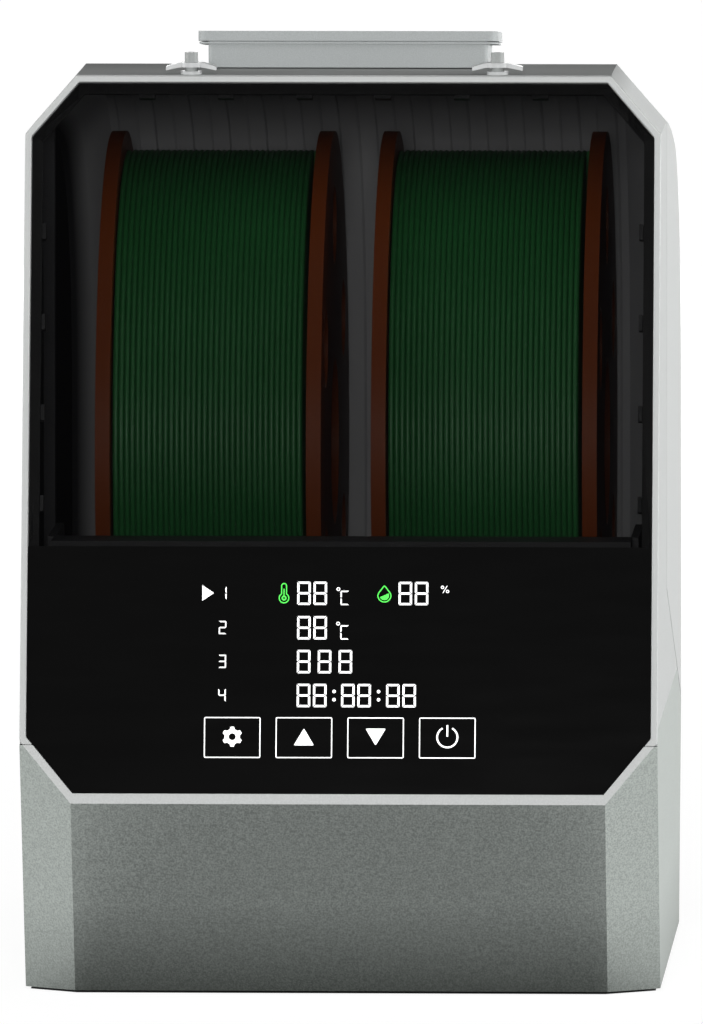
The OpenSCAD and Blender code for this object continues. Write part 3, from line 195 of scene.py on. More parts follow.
# Painted shadow on the floor: its glow is taken out under the box, and for glossy and transmission rays
# it is darkened in front of and round the box, as painted shade that the box's lower faces reflect.
camera_ray = shade.add("LightPath", out="Is Camera Ray")
reach = across * foot_slant + along
shadow_under_box = (across.math("LESS_THAN", across, foot_wide) * along.math("LESS_THAN", along, foot_deep)
             * reach.math("LESS_THAN", reach, foot_corner))
front_shade = (1 - ramp(across, 0.08, 0.11)) * (1 - ramp(along, 0.3, 0.6)) * front_dark
near_shade = (1 - ramp(reach, 0.17, 0.21)) * near_dark
unseen_shade = front_shade.math("MAXIMUM", front_shade, near_shade) * (1 - camera_ray)
whiteness = away.math("MINIMUM", away * glow_rise + floor_glow, 1.0) * (1 - shadow_under_box)
whiteness = whiteness * (1 - unseen_shade)
glow = shade.add("Emission", {"Color": (1, 1, 1, 1), "Strength": whiteness})
shown = shade.add("AddShader", {0: shown, 1: glow})
both = shade.add("MixShader", {0: seen_directly(shade), 1: lit, 2: shown})
shade.add("OutputMaterial", {"Surface": both})
floor_mesh.materials.append(floor_paint)


# ---- Base housing ------------------------------------------------------------------------
# The lower body, one deep injection moulding in grey ABS with coarse spark-eroded grain.
# Everything else is screwed or snapped to it, and its edges keep the small radii of a mould.

# Sprayed paint, plain moulded grey, and the near black painted as shade on faces inside the chamber:
case_colour, rim_colour, inside_shade = (162, 168, 164), (206, 208, 207), (46, 46, 47)
case_grain, case_depth = 0.55 * mm, 0.035 * mm
# The seam's height, and the heights over which the sprayed paint is painted darker towards the bottom as
# shade:
painted_top, low_shade_foot, low_shade_end = 86 * mm, -8 * mm, 30 * mm
# Heights and tone of the painted shade on the top of the roof:
roof_edge, roof_top, roof_shade = 284 * mm, 290 * mm, 0.7
merge_gap = 0.001 * mm
flat_angle, crease_angle = radians(0.05), radians(30)
chamber_heart = Vector((0, -60, 170)) * mm


def srgb(red, green, blue):
    """A colour given as a screen shows it, as a shader reads it."""
    parts = (part / 255 for part in (red, green, blue))
    return tuple(((part + 0.055) / 1.055) ** 2.4 if part > 0.04 else part / 12.92
                 for part in parts) + (1,)


def scaled(colour, factor):
    return tuple(min(1, part * factor) for part in colour[:3]) + (1,)


def new_material(name):
    """A material with nothing in it yet: itself, its node maker, and the place in metres."""
    made = bpy.data.materials.new(name)
    made.use_nodes = True
    made.node_tree.nodes.clear()
    shade = Shade(made.node_tree)
    return made, shade, shade.add("TexCoord", out="Object")


def noise(place, size, detail=2.0):
    """Cloudy values from 0 to 1 whose lumps are this size."""
    return place.add("TexNoise", {"Vector": place, "Scale": 1 / size, "Detail": detail})


def blend_colours(factor, first, second):
    return factor.add("Mix", {0: factor, 6: first, 7: second}, out=2, data_type="RGBA")


def surface(shade, **sockets):
    """Ends a material with a Principled shader; a word's underscores stand for spaces."""
    named = {name.replace("_", " "): value for name, value in sockets.items()}
    shade.add("OutputMaterial", {"Surface": shade.add("BsdfPrincipled", named)})


def plastic(name, colour, roughness=0.5, grain=0.5 * mm, depth=0.03 * mm, speck=0.06, gloss=0.5):
    """Moulded plastic: a grained tool leaves fine pits, light and dark specks and a dull sheen,
    and the melt flows into slightly different tones over a hand's width."""
    made, shade, place = new_material(name)
    pits, flow = noise(place, grain), noise(place, 70 * mm, detail=1.0)
    tone = (pits - 0.5) * 2.2 + (flow - 0.5) * 0.5 + 0.5
    base = srgb(*colour)
    skin = blend_colours(tone, scaled(base, 1 - speck), scaled(base, 1 + speck))
    normal = shade.add("Bump", {"Height": pits, "Distance": depth})
    surface(shade, Base_Color=skin, Roughness=(pits - 0.5) * 0.15 + (flow - 0.5) * 0.08 + roughness,
            Specular_IOR_Level=gloss, Normal=normal)
    return made


def coat(made, *nodes):
    """Gives CAD pieces this material."""
    for node in nodes:
        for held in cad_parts[node].material_slots:
            held.material = made


def new_piece(name, mesh, made, body, finish, *nodes):
    """A finished mesh becomes a piece that rides on a body and stands for some CAD nodes."""
    piece = bpy.data.objects.new(name, mesh)
    scene.collection.objects.link(piece)
    mesh.materials.clear()
    mesh.materials.append(made)
    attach(piece, body)
    if nodes:
        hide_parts(*nodes)
    return piece


def softened(node, name, made, body, finish, radius):
    """A CAD piece again, with the small radius of a moulding on its sharp edges. The faces that
    look into the chamber are marked, and how far each one turns up and to the side."""
    mesh = bpy.data.meshes.new(name)
    shape = bmesh.new()
    shape.from_mesh(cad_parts[node].data)
    bmesh.ops.remove_doubles(shape, verts=shape.verts, dist=merge_gap)
    bmesh.ops.dissolve_limit(shape, angle_limit=flat_angle, verts=shape.verts, edges=shape.edges)
    shape.to_mesh(mesh)
    shape.free()
    if "custom_normal" in mesh.attributes:
        mesh.attributes.remove(mesh.attributes["custom_normal"])
    marks = {mark: mesh.attributes.new(mark, "FLOAT", "FACE").data
             for mark in ("inside", "rise", "turn")}
    for face in mesh.polygons:
        marks["inside"][face.index].value = face.normal.dot(chamber_heart - face.center) > 0
        marks["rise"][face.index].value = face.normal.z
        marks["turn"][face.index].value = abs(face.normal.x)
    mesh.shade_smooth()
    mesh.set_sharp_from_angle(angle=crease_angle)
    piece = new_piece(name, mesh, made, body, finish, node)
    round_off = piece.modifiers.new("edges", "BEVEL")
    round_off.width, round_off.segments, round_off.limit_method = radius, 2, "ANGLE"
    round_off.angle_limit, round_off.harden_normals = crease_angle, True
    return piece


def case_paint():
    """Sprayed metallic paint up to the seam, over plain moulded grey; its flakes stand at all
    angles, so that it sparkles and turns dark where it faces away from the light. The paint is
    painted darker towards the bottom as shade, less on the sides. Faces that lean up keep the
    lighter plain grey as a painted highlight, the top of the roof is painted darker as shade, and
    faces that look into the chamber are painted near black as shade."""
    made, shade, place = new_material("case_paint")
    height = shade.add("SeparateXYZ", {"Vector": place}, out=2)
    inside, rise, turn = (shade.add("Attribute", out="Fac", attribute_name=mark)
                          for mark in ("inside", "rise", "turn"))
    # Faces that lean up are kept out of the sprayed paint and drawn in the lighter plain grey, as a
    # painted highlight on the upward lip.
    painted = height.math("LESS_THAN", height, painted_top) * (1 - ramp(rise, 0.02, 0.12))
    flakes, pits = noise(place, case_grain, detail=1.0), noise(place, 2.2 * case_grain)
    tone = (flakes - 0.5) * 2.6 + (pits - 0.5) * 0.8 + 0.5
    paint, grey = srgb(*case_colour), srgb(*rim_colour)
    sprayed = blend_colours(tone, scaled(paint, 0.84), scaled(paint, 1.16))
    plain = blend_colours(tone, scaled(grey, 0.96), scaled(grey, 1.04))
    normal = shade.add("Bump", {"Height": flakes * painted, "Distance": case_depth})
    # Painted shade: the sprayed paint darkens towards the bottom, less on the sides.
    unshaded = ramp(turn, 0.1, 0.4) * 0.55
    unshaded = unshaded + (1 - unshaded) * ramp(height, low_shade_foot, low_shade_end)
    low_shade = blend_colours(unshaded, srgb(132, 134, 131), (1, 1, 1, 1))
    sprayed = sprayed.add("Mix", {0: 1.0, 6: sprayed, 7: low_shade}, out=2, data_type="RGBA",
                          blend_type="MULTIPLY")
    # Painted shade: the top of the roof is drawn darker.
    plain = blend_colours(ramp(height, roof_edge, roof_top), plain, scaled(grey, roof_shade))
    outer = blend_colours(painted, plain, sprayed)
    # Painted shade: faces that look into the chamber are drawn near black.
    surface(shade, Base_Color=blend_colours(inside, outer, srgb(*inside_shade)),
            Metallic=painted * 0.7, Roughness=tone * 0.12 + 0.36, Specular_IOR_Level=0.0, Normal=normal)
    return made


softened("base_housing", "base_shell", case_paint(), "case", "case_grey", 0.4 * mm)


# ---- Bottom cover and feet ---------------------------------------------------------------
# A flat dark plate closes the base from below, with slots under the fan and four screws.
# Four moulded rubber feet are pressed into round pockets in it.

coat(plastic("cover_plastic", (58, 59, 60), 0.55, 0.5 * mm, 0.03 * mm), "bottom_cover")


def rubber(name, colour, roughness=0.8, lump=0.25 * mm, depth=0.02 * mm):
    """Rubber or foam: dull, with fine open lumps and dust that lightens some of them."""
    made, shade, place = new_material(name)
    lumps, dust = noise(place, lump, detail=4.0), noise(place, 6 * mm)
    base = srgb(*colour)
    skin = blend_colours(lumps * 0.7 + dust * 0.3, scaled(base, 0.6), scaled(base, 1.5))
    normal = shade.add("Bump", {"Height": lumps, "Distance": depth})
    surface(shade, Base_Color=skin, Roughness=lumps * 0.2 + (roughness - 0.1),
            Specular_IOR_Level=0.2, Normal=normal)
    return made


coat(rubber("foot_rubber_black", (34, 34, 35)), "rubber_feet")


# ---- Front bezel -------------------------------------------------------------------------
# A thin light-grey frame round the window and the touch panel, moulded with a satin face.
# It is welded to the slanting front, and its inner edge catches the light.

bezel_plastic = plastic("bezel_plastic", (200, 202, 201), 0.42, 0.4 * mm, 0.01 * mm, speck=0.03,
                        gloss=0.1)
softened("front_bezel", "front_frame", bezel_plastic, "case", "bezel_grey", 0.45 * mm)


# ---- Window ------------------------------------------------------------------------------
# A tinted acrylic pane, 2.5 mm thick, that snaps in behind the bezel on small hooks. Black
# foam seals its rim. The tint hides most of the chamber until a lamp shines in.

tint = 0.2


def dark_glass(name, colour, roughness, gloss, cover=1.0):
    """Polished plastic sheet: nearly black, with faint wipe marks in its shine."""
    made, shade, place = new_material(name)
    wiped = noise(place.add("Mapping", {"Vector": place, "Scale": (1, 1, 6)}), 30 * mm, detail=5.0)
    base = srgb(*colour)
    skin = blend_colours(wiped, scaled(base, 0.85), scaled(base, 1.15))
    surface(shade, Base_Color=skin, Roughness=wiped * 0.04 + roughness,
            Specular_IOR_Level=gloss, Alpha=cover)
    return made


coat(dark_glass("window_tint", (8, 8, 9), 0.03, 0.02, cover=tint), "front_window")
coat(rubber("foam_strip", (16, 16, 16), 0.9, 0.35 * mm, 0.08 * mm), "window_foam")
coat(plastic("clip_plastic", (12, 12, 13), 0.5, gloss=0.1), "window_clips")


# ---- Touch panel -------------------------------------------------------------------------
# One black acrylic strip, flush with the window above it, with four touch keys printed on
# it in white. Behind it the figures and signs of the display shine through.

coat(dark_glass("panel_black_gloss", (11, 11, 11), 0.05, 0.02), "touch_panel")

lean, panel_t = radians(11.84), 2.5 * mm
panel_low, panel_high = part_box("touch_panel")
face_foot = Vector((0, panel_low.y, panel_low.z + panel_t * sin(lean)))
face_up = Vector((0, sin(lean), cos(lean)))
face_out = Vector((0, -cos(lean), sin(lean)))
face_turn = Matrix((Vector((1, 0, 0)), face_up, face_out)).transposed().to_4x4()
on_face = Matrix.Translation(face_foot) @ face_turn
mark_t = 0.04 * mm


def up_face(height):
    """How far up the panel's face a height above the ground is."""
    return (height * mm - face_foot.z) / cos(lean)


def new_faces(shape, make):
    """The faces that a step adds to a shape."""
    before = set(shape.faces)
    make()
    return [face for face in shape.faces if face not in before]


def moved(shape, faces, centre):
    verts = {vert for face in faces for vert in face.verts}
    bmesh.ops.translate(shape, verts=list(verts), vec=Vector((*centre, 0)))
    return faces


def plate(shape, corners):
    """A flat plate from its corners, given anticlockwise."""
    return shape.faces.new([shape.verts.new((*corner, 0)) for corner in corners])


def arc(shape, centre, outer, inner, start=0.0, sweep=360.0):
    """A flat ring, or a part of one, spun from a short edge; angles are in degrees."""
    first = radians(start)
    edge = [shape.verts.new((radius * cos(first), radius * sin(first), 0)) for radius in (inner, outer)]
    shape_edge = shape.edges.new(edge)
    faces = new_faces(shape, lambda: bmesh.ops.spin(
        shape, geom=edge + [shape_edge], cent=(0, 0, 0), axis=(0, 0, 1), angle=radians(sweep),
        steps=max(6, round(abs(sweep) / 10)), use_merge=sweep == 360))
    return moved(shape, faces, centre)


def figure(shape, centre, size, stroke, lit="abcdefg", gap=0.24 * mm):
    """A seven-segment figure: two cells are inset to mitred strokes, and each is then shrunk."""
    wide, high = size
    cells = new_faces(shape, lambda: bmesh.ops.create_grid(
        shape, x_segments=1, y_segments=2, size=1,
        matrix=Matrix.Diagonal((wide / 2, high / 2, 1, 1))))
    strokes = bmesh.ops.inset_individual(shape, faces=cells, thickness=stroke,
                                         use_even_offset=True)["faces"]
    bmesh.ops.delete(shape, geom=cells, context="FACES_ONLY")
    verts = {vert for face in strokes for vert in face.verts}
    for vert in verts:
        if abs(abs(vert.co.y) - stroke) < 0.01 * mm:
            vert.co.y /= 2
    halves = [edge for edge in {edge for vert in verts for edge in vert.link_edges}
              if all(abs(vert.co.y) < 0.01 * mm for vert in edge.verts)]
    whole = [face for face in strokes if not any(edge in halves for edge in face.edges)]
    whole += new_faces(shape, lambda: bmesh.ops.dissolve_edges(shape, edges=halves, use_verts=False))
    rims = bmesh.ops.inset_individual(shape, faces=whole, thickness=gap / 2,
                                      use_even_offset=True)["faces"]
    bmesh.ops.delete(shape, geom=rims, context="FACES")
    names = {}
    for face in whole:
        at = face.calc_center_median()
        if abs(at.x) < wide / 8:
            names[face] = "a" if at.y > high / 4 else "d" if at.y < -high / 4 else "g"
        else:
            names[face] = ("b" if at.x > 0 else "f") if at.y > 0 else ("c" if at.x > 0 else "e")
    bmesh.ops.delete(shape, geom=[face for face in whole if names[face] not in lit], context="FACES")
    return moved(shape, [face for face in whole if face.is_valid], centre)


def glowing(name, colour, level):
    """Backlit print: its light is a little uneven over a mark."""
    made, shade, place = new_material(name)
    base = srgb(*colour)
    uneven = noise(place, 4 * mm)
    glow = blend_colours(uneven, scaled(base, 0.9), base)
    surface(shade, Base_Color=glow, Roughness=uneven * 0.1 + 0.4, Emission_Color=glow,
            Emission_Strength=level)
    return made


def finish_marks(shape, name, made, finish):
    """Flat marks become thin plates on the panel's face, one piece in all."""
    bmesh.ops.recalc_face_normals(shape, faces=shape.faces)
    raised = bmesh.ops.extrude_face_region(shape, geom=list(shape.faces), use_keep_orig=True)["geom"]
    tops = [vert for vert in raised if isinstance(vert, bmesh.types.BMVert)]
    bmesh.ops.translate(shape, verts=tops, vec=(0, 0, mark_t))
    bmesh.ops.recalc_face_normals(shape, faces=shape.faces)
    bmesh.ops.transform(shape, matrix=on_face, verts=shape.verts)
    mesh = bpy.data.meshes.new(name)
    shape.to_mesh(mesh)
    shape.free()
    return new_piece(name, mesh, made, "case", finish)


white_light = glowing("display_white", (255, 255, 255), 0.9)
green_light = glowing("display_green", (44, 206, 46), 0.9)

# The four touch keys: thin outlines with a gear, two arrows and the power sign
key_pitch, key_x0 = 22.7 * mm, 0.5 * mm
key_wide, key_high, key_line, key_round = 17.9 * mm, 13.0 * mm, 0.33 * mm, 0.5 * mm
key_up, sign_up = up_face(83.5), up_face(83.75)
key_x = [key_x0 + (place - 1.5) * key_pitch for place in range(4)]
shape = bmesh.new()
for x in key_x:
    outline = new_faces(shape, lambda: bmesh.ops.create_grid(
        shape, x_segments=1, y_segments=1, size=1,
        matrix=Matrix.Diagonal((key_wide / 2, key_high / 2, 1, 1))))
    corners = list(outline[0].verts)
    bmesh.ops.bevel(shape, geom=corners, offset=key_round, segments=3, profile=0.5,
                    affect="VERTICES", material=-1)
    inside = [face for face in shape.faces if abs(face.calc_center_median().x) < key_line
              and face.calc_area() > 0.9 * key_wide * key_high]
    line = bmesh.ops.inset_individual(shape, faces=inside, thickness=key_line,
                                      use_even_offset=True)["faces"]
    bmesh.ops.delete(shape, geom=inside, context="FACES_ONLY")
    moved(shape, line, (x, key_up))

gear_out, gear_in, gear_hole, gear_teeth = 3.2 * mm, 2.45 * mm, 1.1 * mm, 6
gear = arc(shape, (0, 0), gear_in, gear_hole)
for vert in {vert for face in gear for vert in face.verts}:
    angle = Vector((1, 0)).angle_signed(vert.co.xy, 0) % (tau / gear_teeth)
    if vert.co.length > 0.9 * gear_in and abs(angle - pi / gear_teeth) < radians(16):
        vert.co *= gear_out / gear_in
moved(shape, gear, (key_x[0], sign_up))
arrow_wide, arrow_high, arrow_round = 6.4 * mm, 5.4 * mm, 0.35 * mm
for x, way in ((key_x[1], 1), (key_x[2], -1)):
    tip = plate(shape, [(x - way * arrow_wide / 2, sign_up - way * arrow_high / 2),
                        (x + way * arrow_wide / 2, sign_up - way * arrow_high / 2),
                        (x, sign_up + way * arrow_high / 2)])
    bmesh.ops.bevel(shape, geom=list(tip.verts), offset=arrow_round, segments=2, profile=0.5,
                    affect="VERTICES", material=-1)
power_r, power_line = 3.5 * mm, 0.55 * mm
arc(shape, (key_x[3], sign_up), power_r, power_r - power_line, start=118, sweep=304)
plate(shape, [(key_x[3] + side * power_line / 2, sign_up + up) for side, up in
              ((-1, 0.2 * mm), (1, 0.2 * mm), (1, 3.9 * mm), (-1, 3.9 * mm))])
finish_marks(shape, "key_marks", white_light, "tube_white")

# The lit figures: temperatures with their unit, humidity, a programme number and the time
figure_size, figure_stroke = (4.5 * mm, 7.65 * mm), 0.92 * mm
pair_pitch = 5.15 * mm
row_up = [up_face(height) for height in (128.5, 117.75, 107.2, 96.65)]
pair_x = {0: (-8.6, 23.5), 1: (-8.55,), 3: (-8.5, 5.55, 19.8)}
shape = bmesh.new()
for row, places in pair_x.items():
    for x in places:
        for side in (-0.5, 0.5):
            figure(shape, (x * mm + side * pair_pitch, row_up[row]), figure_size, figure_stroke)
for place in range(3):
    figure(shape, ((-11.1 + 6.6 * place) * mm, row_up[2]), figure_size, figure_stroke)
for x in (-1.4, 12.7):
    for step in (-1.3, 1.3):
        arc(shape, (x * mm, row_up[3] + step * mm), 0.55 * mm, 0.05 * mm)
for row in (0, 1):
    arc(shape, (-0.3 * mm, row_up[row] + 1.35 * mm), 0.6 * mm, 0.32 * mm)
    figure(shape, (1.8 * mm, row_up[row] - 1.45 * mm), (2.9 * mm, 4.7 * mm), 0.55 * mm, "adef",
           gap=0.14 * mm)
number_size, number_stroke, number_x = (2.5 * mm, 4.3 * mm), 0.5 * mm, -36.9 * mm
for up, lit in zip(row_up, ("bc", "abged", "abgcd", "fgbc")):
    figure(shape, (number_x, up), number_size, number_stroke, lit, gap=0.1 * mm)
plate(shape, [(-43.4 * mm, row_up[0] - 2.5 * mm), (-39.7 * mm, row_up[0]),
              (-43.4 * mm, row_up[0] + 2.5 * mm)])
percent = (33.5 * mm, row_up[0] + 1.35 * mm)
for side in (-1, 1):
    arc(shape, (percent[0] + side * 0.8 * mm, percent[1] - side * 0.65 * mm), 0.52 * mm, 0.26 * mm)
plate(shape, [(percent[0] + x * mm, percent[1] + up * mm) for x, up in
              ((-0.82, -1.15), (-0.55, -1.15), (0.82, 1.15), (0.55, 1.15))])
finish_marks(shape, "display_figures", white_light, "tube_white")

# Two green signs: a thermometer and a drop
shape = bmesh.new()
bulb_x, bulb_up, bulb_r, sign_line = -17.5 * mm, row_up[0] - 1.55 * mm, 1.7 * mm, 0.36 * mm
stem_r, stem_top = 0.95 * mm, row_up[0] + 2.3 * mm
arc(shape, (bulb_x, bulb_up), bulb_r, bulb_r - sign_line, start=122, sweep=296)
arc(shape, (bulb_x, stem_top), stem_r, stem_r - sign_line, start=0, sweep=180)
for side in (-1, 1):
    outer, inner = sorted((bulb_x + side * stem_r, bulb_x + side * (stem_r - sign_line)))
    stem_foot = bulb_up + 1.2 * mm
    plate(shape, [(outer, stem_foot), (inner, stem_foot), (inner, stem_top), (outer, stem_top)])
arc(shape, (bulb_x, bulb_up), 0.8 * mm, 0.32 * mm)
column_low, column_top = bulb_up + 0.7 * mm, row_up[0] + 1.4 * mm
plate(shape, [(bulb_x + side * sign_line / 2, up) for side, up in
              ((-1, column_low), (1, column_low), (1, column_top), (-1, column_top))])
drop_x, drop_up, drop_r = 14.3 * mm, row_up[0] - 0.65 * mm, 2.25 * mm
drop = new_faces(shape, lambda: bmesh.ops.create_circle(
    shape, segments=32, radius=drop_r, cap_ends=True))
for vert in drop[0].verts:
    if vert.co.y > 0:
        rise = vert.co.y / drop_r
        vert.co.x *= 1 - 0.42 * rise ** 2
        vert.co.y *= 1 + 0.42 * rise ** 3
rim = bmesh.ops.inset_individual(shape, faces=drop, thickness=sign_line, use_even_offset=True)["faces"]
bmesh.ops.delete(shape, geom=drop, context="FACES_ONLY")
moved(shape, rim, (drop_x, drop_up))
water = new_faces(shape, lambda: bmesh.ops.create_circle(
    shape, segments=24, radius=1.5 * mm, cap_ends=True))
cut = bmesh.ops.bisect_plane(shape, geom=water + list(water[0].edges) + list(water[0].verts),
                             plane_co=(0, 0.1 * mm, 0), plane_no=(-0.45, 1, 0), clear_outer=True)["geom"]
moved(shape, [face for face in cut if isinstance(face, bmesh.types.BMFace)], (drop_x, drop_up))
finish_marks(shape, "display_signs", green_light, "filament_green")


# ---- Display and touch boards ------------------------------------------------------------
# A sealed display module and a small board with four copper touch pads are glued behind
# the panel. Nothing of them shows from outside.


def board(name, colour):
    """Printed circuit board: copper tracks raise the green lacquer in straight steps."""
    made, shade, place = new_material(name)
    tracks = shade.add("TexBrick", {"Vector": place, "Scale": 1, "Mortar Size": 0.35 * mm,
                                    "Brick Width": 5.2 * mm, "Row Height": 2.3 * mm,
                                    "Mortar Smooth": 0.3}, out="Fac")
    base = srgb(*colour)
    lacquer = blend_colours(tracks * 0.8 + noise(place, 2 * mm) * 0.2, base, scaled(base, 1.9))
    normal = shade.add("Bump", {"Height": tracks, "Distance": 0.04 * mm})
    surface(shade, Base_Color=lacquer, Roughness=tracks * 0.1 + 0.3, Normal=normal)
    return made


green_board = board("circuit_lacquer", (18, 84, 52))
coat(plastic("display_case", (26, 26, 28), 0.4), "display_module")
coat(green_board, "touch_board", "control_board")
coat(board("supply_lacquer", (22, 92, 44)), "power_supply")


# ---- Chamber liner and roller cradle -----------------------------------------------------
# The tray that holds the spools, moulded in black heat-proof plastic. The cradle screwed
# into it carries the two steel axles.

liner_plastic = plastic("liner_plastic", (22, 22, 23), 0.5, 0.6 * mm, 0.03 * mm, gloss=0.1)
coat(liner_plastic, "chamber_liner", "roller_cradle")


def metal(name, colour, roughness, stretch=(1, 1, 1), depth=0.004 * mm):
    """Bare or plated metal with fine tool marks along one way."""
    made, shade, place = new_material(name)
    drawn = place.add("Mapping", {"Vector": place, "Scale": stretch})
    marks, stain = noise(drawn, 0.3 * mm, detail=3.0), noise(place, 9 * mm)
    base = srgb(*colour)
    skin = blend_colours(marks * 0.5 + stain * 0.5, scaled(base, 0.8), scaled(base, 1.1))
    normal = shade.add("Bump", {"Height": marks, "Distance": depth})
    surface(shade, Base_Color=skin, Metallic=1.0, Roughness=marks * 0.16 + (roughness - 0.08),
            Normal=normal)
    return made


ground_steel = metal("ground_steel", (196, 197, 199), 0.28, stretch=(0.05, 1, 1))
coat(ground_steel, "front_axle", "rear_axle", "hinge_pins", "keeper_plates")


# ---- Air path ----------------------------------------------------------------------------
# A fan under the floor blows through finned heater elements in a duct and a grille into the
# chamber. The rotor turns on the fan's own post.

coat(plastic("grille_plastic", (44, 45, 47), 0.5), "chamber_grille")
coat(plastic("duct_plastic", (120, 122, 124), 0.55), "heater_duct")
coat(metal("heater_aluminium", (188, 190, 192), 0.35, stretch=(1, 0.1, 1)), "heater_core")
coat(plastic("fan_plastic", (24, 24, 26), 0.4, 0.4 * mm), "fan_frame", "fan_rotor")
coat(plastic("sensor_plastic", (224, 225, 222), 0.5, 0.4 * mm), "humidity_sensor")


# ---- Mains inlet, leads and screws -------------------------------------------------------
# A standard three-pin socket is snapped into the back. Leads with a vinyl jacket join the
# boards, and steel screws with a zinc skin hold everything.

coat(plastic("inlet_plastic", (28, 28, 29), 0.38, 0.4 * mm), "mains_inlet")
coat(metal("pin_brass_bright", (206, 172, 98), 0.25, stretch=(1, 0.1, 1)), "inlet_pins")
coat(rubber("lead_vinyl", (30, 30, 31), 0.45, 0.6 * mm, 0.01 * mm),
     "mains_leads", "display_cable", "fan_lead", "sensor_lead")
coat(metal("zinc_screw", (186, 188, 190), 0.32), "cover_screws", "liner_screws", "cradle_screws",
     "fan_screws", "board_screws", "handle_screws")


# ---- Rollers -----------------------------------------------------------------------------
# Four grey rollers with raised rims carry the spools' flanges. Each runs on the two small
# ball bearings pressed into its ends.

roller_ends = [front + side for front in ("front_", "rear_") for side in ("left", "right")]
coat(plastic("roller_nylon", (128, 130, 132), 0.38, 0.5 * mm, 0.01 * mm),
     *("roller_" + end for end in roller_ends))
coat(metal("bearing_chrome", (205, 206, 208), 0.18), *("bearings_" + end for end in roller_ends))


# ---- Spools ------------------------------------------------------------------------------
# Two orange-brown spools with round windows in their flanges stand side by side on the
# rollers. Each winding is one long thread laid in 35 close turns a layer.

coat(plastic("spool_plastic", (82, 36, 10), 0.45, 0.8 * mm, 0.01 * mm, speck=0.05, gloss=0.05),
     "spool_left", "spool_right")

thread, drum_r, turn_steps, thread_steps = 1.78 * mm, 40 * mm, 120, 6


def thread_material():
    """Extruded thread, smooth and slightly glossy, whose green varies along its length."""
    made, shade, place = new_material("filament_thread")
    vary, fine = noise(place, 25 * mm), noise(place, 1.2 * mm)
    skin = blend_colours(vary * 0.6 + fine * 0.4, srgb(20, 66, 30), srgb(30, 82, 42))
    surface(shade, Base_Color=skin, Roughness=fine * 0.12 + 0.3, Specular_IOR_Level=0.15)
    return made


thread_green = thread_material()


def winding(node, name, body):
    """A layer of round threads side by side, spun as one screw so that the turns join up."""
    low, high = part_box(node)
    middle_y, middle_z = (low.y + high.y) / 2, (low.z + high.z) / 2
    top_r = (high.z - low.z) / 2
    turns = round((high.x - low.x) / thread) - 1
    pitch = (high.x - low.x) / (turns + 1)
    crest = top_r - pitch / 2
    shape = bmesh.new()
    start = shape.verts.new((0, 0, crest))
    bmesh.ops.spin(shape, geom=[start], cent=(pitch / 2, 0, crest), axis=(0, 1, 0), angle=pi,
                   steps=thread_steps)
    bmesh.ops.spin(shape, geom=list(shape.verts) + list(shape.edges), cent=(0, 0, 0), axis=(1, 0, 0),
                   angle=0, dvec=(pitch, 0, 0), steps=turns - 1, use_duplicate=True)
    bmesh.ops.remove_doubles(shape, verts=shape.verts, dist=merge_gap)
    shape.verts.ensure_lookup_table()
    ends = sorted((vert for vert in shape.verts if len(vert.link_edges) == 1), key=lambda v: v.co.x)
    foot = [shape.verts.new((end.co.x, 0, drum_r)) for end in ends]
    for pair in ((ends[0], foot[0]), (foot[0], foot[1]), (foot[1], ends[1])):
        shape.edges.new(pair)
    bmesh.ops.spin(shape, geom=list(shape.verts) + list(shape.edges), cent=(0, 0, 0), axis=(1, 0, 0),
                   angle=tau, dvec=(pitch / turn_steps, 0, 0), steps=turn_steps)
    bmesh.ops.remove_doubles(shape, verts=shape.verts, dist=0.01 * mm)
    bmesh.ops.holes_fill(shape, edges=[edge for edge in shape.edges if edge.is_boundary], sides=0)
    bmesh.ops.recalc_face_normals(shape, faces=shape.faces)
    bmesh.ops.translate(shape, verts=shape.verts, vec=(low.x, middle_y, middle_z))
    mesh = bpy.data.meshes.new(name)
    shape.to_mesh(mesh)
    shape.free()
    mesh.shade_smooth()
    mesh.set_sharp_from_angle(angle=radians(60))
    new_piece(name, mesh, thread_green, body, "filament_green", node)


winding("filament_left", "winding_left", "left_spool")
winding("filament_right", "winding_right", "right_spool")


# ---- Lid ---------------------------------------------------------------------------------
# The ribbed back and roof swing up on two hinges as one moulding. Its rim presses on a
# silicone seal, and magnets in the handle hold it shut.

lid_colour, lid_inside = (210, 212, 211), (150, 150, 151)
side_start, side_end = 92 * mm, 97 * mm


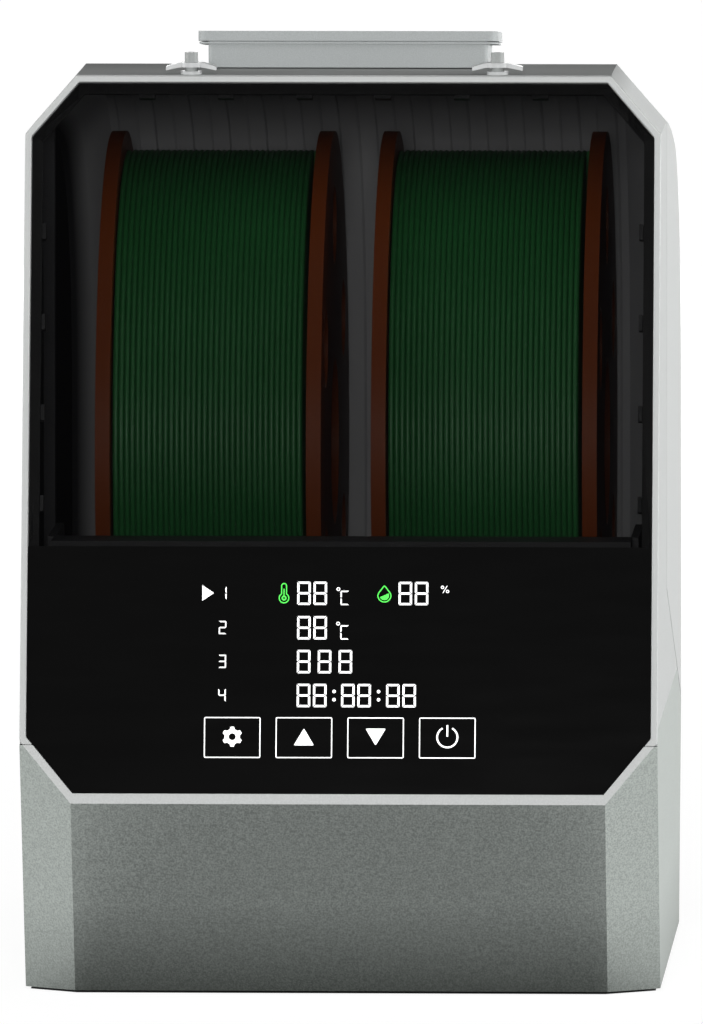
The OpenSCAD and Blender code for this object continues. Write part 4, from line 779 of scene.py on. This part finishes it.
def lid_finish():
    """The lid's satin grey; the faces that look into the chamber are a darker grey, its inner side walls
    are painted near black as shade, and the top of its roof is painted darker as shade.
    """
    made, shade, place = new_material("lid_plastic")
    grains, flow = noise(place, 0.6 * mm), noise(place, 70 * mm, detail=1.0)
    inside = shade.add("Attribute", out="Fac", attribute_name="inside")
    across = shade.add("SeparateXYZ", {"Vector": place}, out=0)
    side = ramp(across.math("ABSOLUTE", across), side_start, side_end)
    grey = srgb(*lid_colour)
    height = shade.add("SeparateXYZ", {"Vector": place}, out=2)
    outer = blend_colours(grains, scaled(grey, 0.96), scaled(grey, 1.04))
    # Painted shade: the top of the roof is drawn darker.
    outer = blend_colours(ramp(height, roof_edge, roof_top), outer, scaled(grey, roof_shade))
    # Painted shade: the inner side walls are drawn near black; the rest of the inside is a darker grey.
    inner = blend_colours(side, srgb(*lid_inside), srgb(*inside_shade))
    normal = shade.add("Bump", {"Height": grains, "Distance": 0.03 * mm})
    surface(shade, Base_Color=blend_colours(inside, outer, inner),
            Roughness=grains * 0.1 + flow * 0.1 + 0.4, Specular_IOR_Level=0.0, Normal=normal)
    return made


softened("rear_lid", "lid_shell", lid_finish(), "lid", "lid_grey", 0.4 * mm)
handle_plastic = plastic("handle_plastic", (174, 178, 178), 0.5, 0.35 * mm, 0.04 * mm, speck=0.08,
                         gloss=0.1)
softened("lid_handle", "handle_grip", handle_plastic, "lid", "handle_grey", 0.5 * mm)
coat(rubber("seal_silicone", (24, 24, 25), 0.6), "lid_seal")
coat(metal("magnet_plating", (200, 200, 196), 0.2), "lid_magnets")


# ---- Outlets -----------------------------------------------------------------------------
# Two push-in fittings in the roof's front band let the thread out through a short tube.
# Pressing a collar's wings frees its tube.

outlet_plastic = plastic("outlet_plastic", (192, 194, 194), 0.4, 0.4 * mm, 0.01 * mm, speck=0.03)
coat(outlet_plastic, "outlet_left", "outlet_right")
for side in ("left", "right"):
    softened("collar_" + side, "release_collar_" + side, outlet_plastic, side + "_collar",
             "outlet_grey", 0.15 * mm)
coat(plastic("tube_fluoropolymer", (158, 161, 160), 0.4, 0.4 * mm, 0.02 * mm, speck=0.06, gloss=0.2),
     "tube_left", "tube_right")


# ---- The end -----------------------------------------------------------------------------

bpy.context.view_layer.update()
